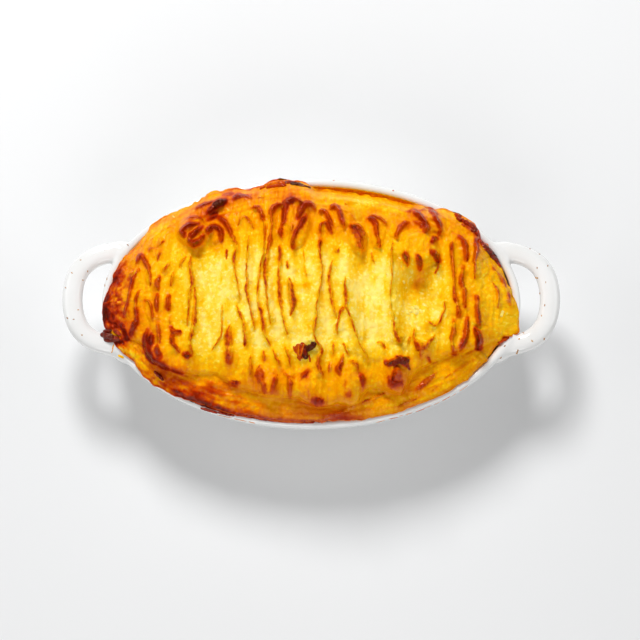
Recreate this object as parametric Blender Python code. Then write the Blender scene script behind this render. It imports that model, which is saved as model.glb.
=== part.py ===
"""Shepherd's pie baked in its own oval dish with two loop handles.

Metres, +Z up. The base's centre is the origin, X runs through the handles and Y points to the back.
Two solids: the glazed dish, and the pie that fills it, with its domed and fork-ridged potato top.
"""

import math

import bmesh
import bpy
import numpy as np

MM = 0.001

# Dish: an oval body with a rounded lip, a flat base and a loop handle at each end.
RIM_HALF_LENGTH = 0.100
RIM_HALF_WIDTH = 0.060
DISH_HEIGHT = 0.046
WALL = 0.004
LIP_RADIUS = WALL / 2
FLOOR_THICKNESS = 0.005
BASE_INSET = 0.017
CAVITY_INSET = 0.015
SIDE_SQUARENESS = 3.0  # exponent of the side's curve: 2 is round, more is straighter
DISH_SEGMENTS = 64
SIDE_STEPS = 5
LIP_STEPS = 4

# Handles: each a strap along an ear-shaped path that runs out of the wall nearly along X.
EAR_CENTRE_X = 0.088
EAR_CENTRE_Y = 0.0022
EAR_REACH = 0.0263
EAR_HALF_HEIGHT = 0.0232
EAR_SQUARENESS = 2.4  # exponent of the ear's outline: 2 is an ellipse, more is fuller
EAR_SWEEP = math.radians(80)
EAR_POINTS = 7
EAR_ROOT_BACK = math.radians(26)  # bearings at which the strap sinks into the wall
EAR_ROOT_FRONT = math.radians(-24)
STRAP_HALF_WIDTH = 0.0048
STRAP_HALF_DEPTH = 0.0042
STRAP_ROOT_HALF_WIDTH = 0.0024
STRAP_ROOT_FLARE = 1.5  # how fast the half width grows with the distance outside the wall
STRAP_DROP = 0.0058  # strap's middle below the rim's top at the roots
STRAP_LIFT = 0.0022  # and how much higher it runs at the tip
STRAP_FULLNESS = 0.8  # exponent of the strap's section: 1 is an ellipse, less is boxier
STRAP_SIDES = 10
STRAP_STATIONS = 18

# Pie: it fills the cavity, runs up over the lip and stands as a ridged mound.
FIT_GAP = 0.0005
EDGE_THICKNESS = 0.0026
EDGE_SLOPE_WIDTH = 0.0016
EDGE_ROUNDING = 0.55  # height of the edge's outermost line, as a share of its thickness
MOUND_RISE = 0.0090
MOUND_ROUNDNESS = 2.6
SHELF_RISE = 0.0045  # the forked layer's step above the smooth apron in front of it
SHELF_RUN = 0.005
SHELF_MARGIN = 0.12  # shares of the way in from the edge over which shelf and ridges grow
RIDGE_MARGIN = 0.10
GROOVE_HALF_WIDTH = 0.0052
RIDGE_END_FADE = 0.006
COLUMNS = 92
ROWS = 22
SKIRT_LIP_STEPS = 3
SKIRT_SIDE_SHARES = (0.6, 0.9)  # depths of the skirt's rings, as shares of the cavity's
SIDE_GAP = 0.001
COLUMN_ROUNDING = 0.65  # share of arc-wise spacing against even spacing

# How far the crust's edge stays inside the rim's outline: bearing in degrees, inset in mm.
CRUST_EDGE = (
    (-180, 0.6), (-167, 0.1), (-160, 0.6), (-150, 2.4), (-141, 0.5), (-132, 0.6), (-122, 2.2),
    (-100, 2.6), (-88, 2.9), (-70, 2.0), (-50, 2.6), (-36, 3.4), (-24, 4.4), (-15, 0.4), (-7, 0.3),
    (4, 2.0), (18, 4.2), (32, 3.4), (38, 0.2), (47, 0.4), (58, 3.6), (72, 4.0), (86, 3.2),
    (97, 0.3), (104, 2.4), (112, 0.2), (124, 2.4), (137, 0.8), (150, 3.6), (165, 2.6),
)

# The forked layer's front edge: lobes as x, half width and reach in mm, on an oval of these halves.
SHELF_HALF_LENGTH = 0.090
SHELF_HALF_WIDTH = 0.042
SHELF_LOBES = (
    (-66, 8, 3), (-45, 6, -2), (-26, 12, 4), (4, 6, 7), (20, 6, 7), (40, 5, 5), (61, 8, -4),
)

# Fork ridges in mm: x and y of the back end, x halfway, x and y of the front end, height.
RIDGES = (
    (-85, 14, -88, -90, -15, 1.5), (-81, 5, -83, -85, -15, 2.0), (-81, 22, -75, -78, -28, 3.0),
    (-67, 17, -73, -71, -25, 2.5), (-64, 13, -68, -63, -24, 2.0), (-57, 21, -54, -59, -13, 2.5),
    (-55, 6, -54, -58, -26, 2.5), (-43, 6, -41, -46, -24, 1.5), (-43, 40, -36, -31, -22, 2.5),
    (-30, 30, -31, -30, -34, 2.5), (-27, 44, -25, -21, -43, 3.0), (-19, 41, -21, -15, -31, 2.5),
    (-12, 47, -15, -9, -31, 3.0), (-2, 45, -7, -8, 25, 3.0), (-11, 16, -9, -9, -8, 3.0),
    (5, 35, 3, 6, -36, 3.0), (10, 18, 9, 12, -13, 2.0), (14, 44, 16, 23, -21, 2.5),
    (20, 34, 23, 25, 16, 3.0), (25, 40, 31, 32, 26, 3.0), (47, 38, 38, 41, -19, 3.0),
    (48, 44, 53, 54, 33, 2.5), (57, 45, 61, 58, 28, 3.0), (67, 26, 67, 67, -19, 2.5),
    (71, 31, 72, 68, -25, 3.0), (73, 37, 78, 80, -21, 3.0), (87, 14, 93, 95, 0, 1.5),
)

# Hollows pressed into the top: x, y, half length, half width and depth in mm.
HOLLOWS = ((53, 0, 13, 20, 3.5), (25, 12, 9, 12, 2.0), (-17, -18, 6, 8, 1.5))
HOLLOW_TIGHTNESS = 1.5


def clear_scene():
    for old in list(bpy.data.objects):
        bpy.data.objects.remove(old, do_unlink=True)


def plain_material(name, colour, roughness):
    """Plain Principled material."""
    material = bpy.data.materials.new(name)
    material.use_nodes = True
    shader = material.node_tree.nodes["Principled BSDF"]
    shader.inputs["Base Color"].default_value = (*colour, 1.0)
    shader.inputs["Roughness"].default_value = roughness
    shader.inputs["Metallic"].default_value = 0.0
    material.diffuse_color = (*colour, 1.0)
    return material


def solid_object(name, vertices, faces, material):
    """Closed smooth-shaded mesh object with its faces turned outwards."""
    mesh = bpy.data.meshes.new(name)
    mesh.from_pydata([tuple(v) for v in vertices], [], faces)
    builder = bmesh.new()
    builder.from_mesh(mesh)
    bmesh.ops.recalc_face_normals(builder, faces=builder.faces)
    builder.to_mesh(mesh)
    builder.free()
    mesh.shade_smooth()
    mesh.materials.append(material)
    made = bpy.data.objects.new(name, mesh)
    bpy.context.collection.objects.link(made)
    return made


def strips(first_ring, second_ring):
    """Quads between two closed rings of vertex numbers."""
    count = len(first_ring)
    return [
        (first_ring[i], first_ring[(i + 1) % count], second_ring[(i + 1) % count], second_ring[i])
        for i in range(count)
    ]


def loft(rings):
    """Vertices and faces of a solid through rings of points, closed by a flat face at each end."""
    count = len(rings[0])
    vertices = np.concatenate(rings)
    numbers = [list(range(k * count, (k + 1) * count)) for k in range(len(rings))]
    faces = [numbers[0], numbers[-1]]
    for lower, upper in zip(numbers, numbers[1:]):
        faces += strips(lower, upper)
    return vertices, faces


def oval(angle, inset):
    """Point of the rim's outline at this bearing, moved inwards along the outline's normal."""
    normal_x = np.cos(angle) / RIM_HALF_LENGTH
    normal_y = np.sin(angle) / RIM_HALF_WIDTH
    length = np.hypot(normal_x, normal_y)
    x = RIM_HALF_LENGTH * np.cos(angle) - inset * normal_x / length
    y = RIM_HALF_WIDTH * np.sin(angle) - inset * normal_y / length
    return x, y


def level_ring(angles, inset, height):
    x, y = oval(angles, inset)
    return np.stack([x, y, np.full_like(x, height)], axis=1)


def side_curve(step, drop, inset):
    """Depth and inset on a side that falls straight and turns in to a flat bottom; step is 0 to 1."""
    turn = step * math.pi / 2
    power = 2 / SIDE_SQUARENESS
    return drop * math.sin(turn) ** power, inset * (1 - math.cos(turn) ** power)


def side_inset(depth, drop, inset):
    """The same side's inset at a depth."""
    share = min(depth / drop, 1.0)
    return inset * (1 - (1 - share**SIDE_SQUARENESS) ** (1 / SIDE_SQUARENESS))


def dish_body():
    """Rings of the dish: base, outer side, rounded lip, cavity side and floor."""
    angles = np.linspace(0, 2 * math.pi, DISH_SEGMENTS, endpoint=False)
    rings = []
    for k in range(SIDE_STEPS, 0, -1):
        depth, inset = side_curve(k / SIDE_STEPS, DISH_HEIGHT, BASE_INSET)
        rings.append(level_ring(angles, inset, DISH_HEIGHT - depth))
    for k in range(LIP_STEPS + 1):
        turn = math.pi * k / LIP_STEPS
        inset = LIP_RADIUS * (1 - math.cos(turn))
        rings.append(level_ring(angles, inset, DISH_HEIGHT - LIP_RADIUS * (1 - math.sin(turn))))
    for k in range(1, SIDE_STEPS + 1):
        depth, inset = side_curve(k / SIDE_STEPS, DISH_HEIGHT - FLOOR_THICKNESS, CAVITY_INSET)
        rings.append(level_ring(angles, WALL + inset, DISH_HEIGHT - depth))
    return loft(rings)


def spline_through(points, count):
    """Points at even steps along a smooth curve through the given points."""
    points = np.asarray(points, dtype=float)
    padded = np.vstack([2 * points[0] - points[1], points, 2 * points[-1] - points[-2]])
    along = np.linspace(0, len(points) - 1, count)
    span = np.minimum(along.astype(int), len(points) - 2)
    t = (along - span)[:, None]
    before, start, end, after = (padded[span + k] for k in range(4))
    return 0.5 * (
        2 * start
        + (end - before) * t
        + (2 * before - 5 * start + 4 * end - after) * t**2
        + (3 * start - before - 3 * end + after) * t**3
    )


def strap_path():
    """Middle line of the right handle, from its back root to its front root."""
    wall_middle = WALL / 2
    back_root = np.array(oval(EAR_ROOT_BACK, wall_middle))
    front_root = np.array(oval(EAR_ROOT_FRONT, wall_middle))
    power = 2 / EAR_SQUARENESS
    arc = []
    for turn in np.linspace(EAR_SWEEP, -EAR_SWEEP, EAR_POINTS):
        out = EAR_REACH * math.cos(turn) ** power
        up = EAR_HALF_HEIGHT * math.copysign(abs(math.sin(turn)) ** power, turn)
        arc.append((EAR_CENTRE_X + out, EAR_CENTRE_Y + up))
    return spline_through([back_root, *arc, front_root], STRAP_STATIONS)


def outside_wall(point):
    """Distance of a plan point outside the wall's middle line."""
    half_length = RIM_HALF_LENGTH - WALL / 2
    half_width = RIM_HALF_WIDTH - WALL / 2
    reach = math.hypot(point[0] / half_length, point[1] / half_width)
    slope = math.hypot(point[0] / half_length**2, point[1] / half_width**2) / reach
    return max(0.0, (reach - 1) / slope)


def strap(side):
    """Rings of one handle; side is 1 for the right and -1 for the left."""
    path = strap_path()
    along = np.gradient(path, axis=0)
    along /= np.linalg.norm(along, axis=1)[:, None]
    across = np.stack([-along[:, 1], along[:, 0]], axis=1)
    turns = np.linspace(0, 2 * math.pi, STRAP_SIDES, endpoint=False) + math.pi / STRAP_SIDES
    rings = []
    for k, (point, sideways) in enumerate(zip(path, across)):
        width = min(STRAP_HALF_WIDTH, STRAP_ROOT_HALF_WIDTH + STRAP_ROOT_FLARE * outside_wall(point))
        middle = DISH_HEIGHT - STRAP_DROP + STRAP_LIFT * math.sin(math.pi * k / (STRAP_STATIONS - 1))
        offset = np.sign(np.cos(turns)) * np.abs(np.cos(turns)) ** STRAP_FULLNESS * width
        height = np.sign(np.sin(turns)) * np.abs(np.sin(turns)) ** STRAP_FULLNESS * STRAP_HALF_DEPTH
        x = side * (point[0] + offset * sideways[0])
        y = point[1] + offset * sideways[1]
        rings.append(np.stack([x, y, middle + height], axis=1))
    return loft(rings)


def make_dish(material):
    """The oval body with both handles united to it."""
    dish = solid_object("dish", *dish_body(), material)
    for label, side in (("right", 1), ("left", -1)):
        handle = solid_object(f"handle_{label}", *strap(side), material)
        handle.hide_render = True
        handle.display_type = "WIRE"
        union = dish.modifiers.new(f"handle_{label}", "BOOLEAN")
        union.operation = "UNION"
        union.solver = "EXACT"
        union.object = handle
    return dish


def crust_inset(angles):
    """Inset of the crust's edge at these bearings, eased between the table's rows."""
    table = np.array(CRUST_EDGE)
    bearings = np.append(table[:, 0], table[0, 0] + 360)
    insets = np.append(table[:, 1], table[0, 1]) * MM
    wanted = (np.degrees(angles) + 180) % 360 - 180
    row = np.clip(np.searchsorted(bearings, wanted, side="right") - 1, 0, len(table) - 1)
    share = (wanted - bearings[row]) / (bearings[row + 1] - bearings[row])
    eased = share * share * (3 - 2 * share)
    return insets[row] + (insets[row + 1] - insets[row]) * eased


def lip_height(inset):
    """Height of the dish's lip under a point this far inside the rim's outline."""
    across = np.clip(inset - LIP_RADIUS, -LIP_RADIUS, LIP_RADIUS)
    return DISH_HEIGHT - LIP_RADIUS + np.sqrt(LIP_RADIUS**2 - across**2)


def ease(value):
    share = np.clip(value, 0, 1)
    return share * share * (3 - 2 * share)


def shelf_edge(x):
    """Y of the forked layer's lobed front edge."""
    share = np.clip(1 - (x / SHELF_HALF_LENGTH) ** 2, 0, 1)
    edge = -SHELF_HALF_WIDTH * np.sqrt(share)
    for centre, half_width, reach in SHELF_LOBES:
        edge -= reach * MM * np.exp(-(((x - centre * MM) / (half_width * MM)) ** 2))
    return edge


def ridge_relief(x, y):
    """Sharp fork crests with round grooves between them."""
    relief = np.zeros_like(x)
    for back_x, back_y, middle_x, front_x, front_y, height in RIDGES:
        share = np.clip((back_y * MM - y) / ((back_y - front_y) * MM), 0, 1)
        bow = middle_x - (back_x + front_x) / 2
        crest_x = (back_x + (front_x - back_x) * share + 4 * bow * share * (1 - share)) * MM
        flank = np.clip(1 - np.abs(x - crest_x) / GROOVE_HALF_WIDTH, 0, 1) ** 2
        beyond = np.maximum(y - back_y * MM, front_y * MM - y)
        relief = np.maximum(relief, height * MM * flank * (1 - ease(beyond / RIDGE_END_FADE)))
    return relief


def top_height(x, y, edge_height):
    """Height of the potato: mound, shelf, ridges and hollows, meeting the crust's edge height."""
    reach = np.sqrt((x / (RIM_HALF_LENGTH - WALL / 2)) ** 2 + (y / (RIM_HALF_WIDTH - WALL / 2)) ** 2)
    inside = 1 - np.clip(reach, 0, 1) ** MOUND_ROUNDNESS
    shelf = ease((y - shelf_edge(x)) / SHELF_RUN) * ease((1 - reach) / SHELF_MARGIN)
    relief = ridge_relief(x, y) * ease((1 - reach) / RIDGE_MARGIN)
    height = edge_height + MOUND_RISE * inside + SHELF_RISE * shelf + relief
    for centre_x, centre_y, half_x, half_y, depth in HOLLOWS:
        away = ((x / MM - centre_x) / half_x) ** 2 + ((y / MM - centre_y) / half_y) ** 2
        height -= depth * MM * np.exp(-HOLLOW_TIGHTNESS * away)
    return height


def pie_top(back_angles):
    """Grid of points from the front edge to the back edge in columns along X."""
    shares = np.linspace(0, 1, ROWS + 1)
    edges = []
    for angles in (-back_angles, back_angles):
        inset = crust_inset(angles)
        x, y = oval(angles, inset + EDGE_SLOPE_WIDTH)
        edges.append((x, y, lip_height(inset) + EDGE_THICKNESS))
    (front_x, front_y, front_z), (back_x, back_y, back_z) = edges
    x = front_x[:, None] + (back_x - front_x)[:, None] * shares
    y = front_y[:, None] + (back_y - front_y)[:, None] * shares
    edge_height = front_z[:, None] + (back_z - front_z)[:, None] * shares
    z = top_height(x, y, edge_height)
    z[:, 0] = front_z
    z[:, -1] = back_z
    return np.stack([x, y, z], axis=2)


def pie_skirt(angles):
    """Rings below the top's edge: over the lip, down the cavity's side and in to its floor."""
    inset = crust_inset(angles)
    lip_gap_radius = LIP_RADIUS + FIT_GAP
    outer_turn = np.arccos(np.clip((LIP_RADIUS - inset) / lip_gap_radius, -1, 1))
    rings = []
    x, y = oval(angles, inset)
    rings.append(np.stack([x, y, lip_height(inset) + EDGE_ROUNDING * EDGE_THICKNESS], axis=1))
    for k in range(SKIRT_LIP_STEPS + 1):
        turn = outer_turn + (math.pi - outer_turn) * k / SKIRT_LIP_STEPS
        x, y = oval(angles, LIP_RADIUS - lip_gap_radius * np.cos(turn))
        z = DISH_HEIGHT - LIP_RADIUS + lip_gap_radius * np.sin(turn)
        rings.append(np.stack([x, y, z], axis=1))
    cavity_depth = DISH_HEIGHT - FLOOR_THICKNESS
    for share in SKIRT_SIDE_SHARES:
        depth = share * cavity_depth
        side = WALL + side_inset(depth, cavity_depth, CAVITY_INSET)
        rings.append(level_ring(angles, side + SIDE_GAP, DISH_HEIGHT - depth))
    rings.append(level_ring(angles, WALL + CAVITY_INSET, FLOOR_THICKNESS + FIT_GAP))
    return rings


def make_pie(material):
    """The pie as one closed solid."""
    even = np.linspace(-1, 1, COLUMNS + 1)
    spread = COLUMN_ROUNDING * np.sin(math.pi / 2 * even) + (1 - COLUMN_ROUNDING) * even
    back_angles = np.arccos(np.clip(spread, -1, 1))
    top = pie_top(back_angles)
    vertices = [top[0, 0]]
    numbers = np.zeros((COLUMNS + 1, ROWS + 1), dtype=int)
    for column in range(1, COLUMNS):
        numbers[column] = np.arange(ROWS + 1) + len(vertices)
        vertices += list(top[column])
    numbers[COLUMNS] = len(vertices)
    vertices.append(top[COLUMNS, 0])
    faces = []
    for column in range(COLUMNS):
        for row in range(ROWS):
            corners = (
                numbers[column, row],
                numbers[column + 1, row],
                numbers[column + 1, row + 1],
                numbers[column, row + 1],
            )
            faces.append(tuple(dict.fromkeys(int(c) for c in corners)))
    edge_ring = [int(n) for n in numbers[:, 0]] + [int(n) for n in numbers[COLUMNS - 1 : 0 : -1, ROWS]]
    edge_angles = np.concatenate([-back_angles, back_angles[COLUMNS - 1 : 0 : -1]])
    upper = edge_ring
    for ring in pie_skirt(edge_angles):
        lower = list(range(len(vertices), len(vertices) + len(ring)))
        vertices += list(ring)
        faces += strips(upper, lower)
        upper = lower
    faces.append(upper)
    return solid_object("pie", vertices, faces, material)


def main():
    clear_scene()
    make_dish(plain_material("white_glaze", (0.86, 0.86, 0.84), 0.12))
    make_pie(plain_material("baked_potato", (0.92, 0.55, 0.12), 0.5))


main()
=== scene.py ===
"""Looks of the shepherd's pie: glazed oval dish, fork-ridged potato, toasted crests and baked specks.

Plan shapes are worked out in millimetres in the frame's axes and written to meshes in metres.
"""

import math

import bpy
import numpy as np
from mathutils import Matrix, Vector
from mathutils.bvhtree import BVHTree


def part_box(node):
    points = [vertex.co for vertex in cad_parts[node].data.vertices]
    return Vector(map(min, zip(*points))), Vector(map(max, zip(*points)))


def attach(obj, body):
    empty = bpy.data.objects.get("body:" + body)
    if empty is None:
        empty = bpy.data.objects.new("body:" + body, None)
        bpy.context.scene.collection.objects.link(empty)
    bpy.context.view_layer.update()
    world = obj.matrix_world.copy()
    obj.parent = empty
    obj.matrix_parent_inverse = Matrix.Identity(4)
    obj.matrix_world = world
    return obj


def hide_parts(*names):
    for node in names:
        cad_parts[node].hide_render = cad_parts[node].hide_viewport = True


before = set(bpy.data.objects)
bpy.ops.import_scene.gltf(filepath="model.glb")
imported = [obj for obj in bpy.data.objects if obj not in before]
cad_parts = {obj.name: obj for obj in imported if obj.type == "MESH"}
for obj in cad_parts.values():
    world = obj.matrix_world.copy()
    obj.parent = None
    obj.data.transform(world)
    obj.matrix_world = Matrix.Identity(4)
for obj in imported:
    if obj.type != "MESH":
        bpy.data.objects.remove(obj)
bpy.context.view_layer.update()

MM = 0.001

# The dish's sizes in millimetres; the rim's half width is read off the frame.
RIM_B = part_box("dish")[1][1] / MM
RIM_A = RIM_B * 5 / 3
RIM_Z = 46.0
WALL = 4.0
LIP_R = WALL / 2
FLOOR = 5.0
BASE_INSET = 17.0
CAVITY_INSET = 15.0
SIDE_SQUARENESS = 3.0

# Handle: an ear-shaped strap.
EAR_CENTRE = (88.0, 2.2)
EAR_REACH = 26.3
EAR_HALF_HEIGHT = 23.2
EAR_SQUARENESS = 2.4
EAR_SWEEP = math.radians(80)
EAR_ROOTS = (math.radians(26), math.radians(-24))
STRAP_HALF_WIDTH = 4.8
STRAP_HALF_DEPTH = 4.2
STRAP_SQUARENESS = 2.4
STRAP_DROP = 5.8
STRAP_LIFT = 2.2
FILLET = 3.0

# Crust's edge: bearing in degrees, inset from the rim's outline, drop below the lip.
CRUST_EDGE = (
    (-180, 0.5, 0), (-175, -0.6, 0), (-170, -0.4, 0), (-165, 0.2, 0), (-160, 0.6, 0), (-150, 2.4, 0),
    (-141, 0.5, 0), (-132, 0.7, 0), (-122, 2.3, 0), (-100, 2.7, 0), (-88, 3.0, 0), (-70, 2.1, 0),
    (-50, 2.6, 0), (-36, 3.4, 0), (-24, 4.6, 0.25), (-18, 3.4, 0), (-15.5, 0, 0), (-13, -1.6, 0),
    (-8.5, -0.8, 0), (-4, 0.8, 0), (4.7, 3.8, 0.1), (14, 4.6, 0.3), (18, 4.6, 0.3), (33, 3.2, 0),
    (36.5, 0.3, 0), (39.5, -1.2, 0), (44.5, -0.6, 0), (49, 0.4, 0), (55, 3.6, 0.6), (63, 4.8, 2.6),
    (78, 5.0, 3.0), (87, 4.6, 2.2), (94.5, 0.6, 0), (97.5, -0.6, 0), (101, -0.6, 0), (103.5, 1.4, 0),
    (108, 2.8, 0), (112, 0.3, 0), (114, -0.2, 0), (115.6, 0.3, 0), (117.2, -0.9, 0), (119.5, -1.2, 0),
    (121.2, -0.2, 0), (123.5, 1.5, 0), (127, 2.0, 0), (137, 0.8, 0), (150, 3.6, 0), (165, 2.8, 0),
    (170, 3.1, 0), (174, 2.7, 0), (177, 1.2, 0),
)
EDGE_THICKNESS = 2.4
MOUND_RISE = 9.0
MOUND_ROUNDNESS = 2.6

# Front edge of the forked layer, left to right, and how high the layer steps up there.
SHELF_EDGE = (
    (-96, -8), (-89, -13), (-87, -17), (-79, -20), (-78, -24), (-75, -28.5), (-71, -30.5), (-65, -32.5),
    (-60, -34), (-52, -34), (-45, -34), (-41.5, -36.5), (-38, -39.5), (-33, -41), (-28, -42.5),
    (-21.5, -44.5), (-14, -45), (-6, -45), (-2, -47.5), (4, -49.5), (8.5, -48.5), (12, -47),
    (18, -48.5), (22.5, -47.5), (24.5, -43.5), (28, -40.5), (34, -40.5), (38, -42.5), (42.5, -43),
    (45.5, -39.5), (47, -36), (52, -31), (60, -27.5), (68, -24.5), (79, -22), (88, -17), (96, -10),
)
SHELF_RISE = (
    (-96, 2), (-75, 5), (-60, 4), (-45, 3), (-30, 4), (-15, 4.6), (0, 6.5), (4, 7), (20, 7), (26, 5),
    (40, 6), (50, 4.6), (65, 3.2), (80, 3.2), (96, 1),
)

# Hollows in the top: x, y, half length, half width, depth.
HOLLOWS = (
    (51, 4, 8, 11, 6.5), (58, -3, 5, 7, 2.5), (25, 12, 8, 13, 2.2), (-5, 14, 5, 8, 1.0),
    (-2, 3, 4, 3, 1.4), (-50, 5, 5, 18, 1.2), (44, 2, 4, 18, 0.8), (-17, -18, 4, 6, 1.4),
    (12, -50, 12, 3, 1.6), (35, -44, 6, 3, 1.5),
)

# Raised heads with steep sides: x, y, half length, half width, height.
HEADS = (
    (51, 24.5, 10.5, 10, 6.5), (-56, 33, 8.5, 8, 4.6), (-46, 32, 5, 6, 2.0), (22, 29, 5, 7, 3.4),
    (-6, 36, 6, 12, 2.8), (31, 33, 5, 9, 1.6), (12, 38, 5, 8, 1.0), (56, 38, 7, 7, 1.0),
    (30, -24, 6, 6, 1.2), (52, -23, 6, 5, 1.4), (-3, -24, 7, 6, 1.2),
)

# Lobes at the forked layer's front: x, y, half length, half width, height.
LOBES = (
    (-70, -26, 6, 7, 1.8), (-58, -27, 5, 6, 1.2), (-39, -28, 5, 6, 1.4), (-30, -36, 4, 5, 0.9),
    (-19.5, -38.5, 5.5, 6, 1.8), (-9.5, -40, 3.2, 5, 1.0), (-1.5, -43, 6.5, 6, 3.0), (18, -41, 7, 7, 3.6),
    (41, -35, 6, 6, 3.0), (53, -24, 6, 5, 1.2), (68, -20, 5, 6, 1.8), (79, -19, 4, 5, 1.8),
)

# Browning of the crust's very edge by bearing.
EDGE_TONE = (
    (-180, 0.6), (-168, 0.9), (-163, 1.0), (-155, 0.5), (-140, 0.5), (-125, 0.65), (-105, 0.55),
    (-85, 0.45), (-70, 0.3), (-45, 0.2), (-28, 0.25), (-18, 0.6), (-12, 0.35), (-5, 0.0), (15, 0.05),
    (26, 0.6), (36, 0.8), (42, 0.3), (60, 0.3), (85, 0.3), (93, 0.6), (102, 0.8), (108, 0.45), (114, 0.1),
    (135, 0.05), (155, 0.15), (165, 0.4), (180, 0.6),
)

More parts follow.
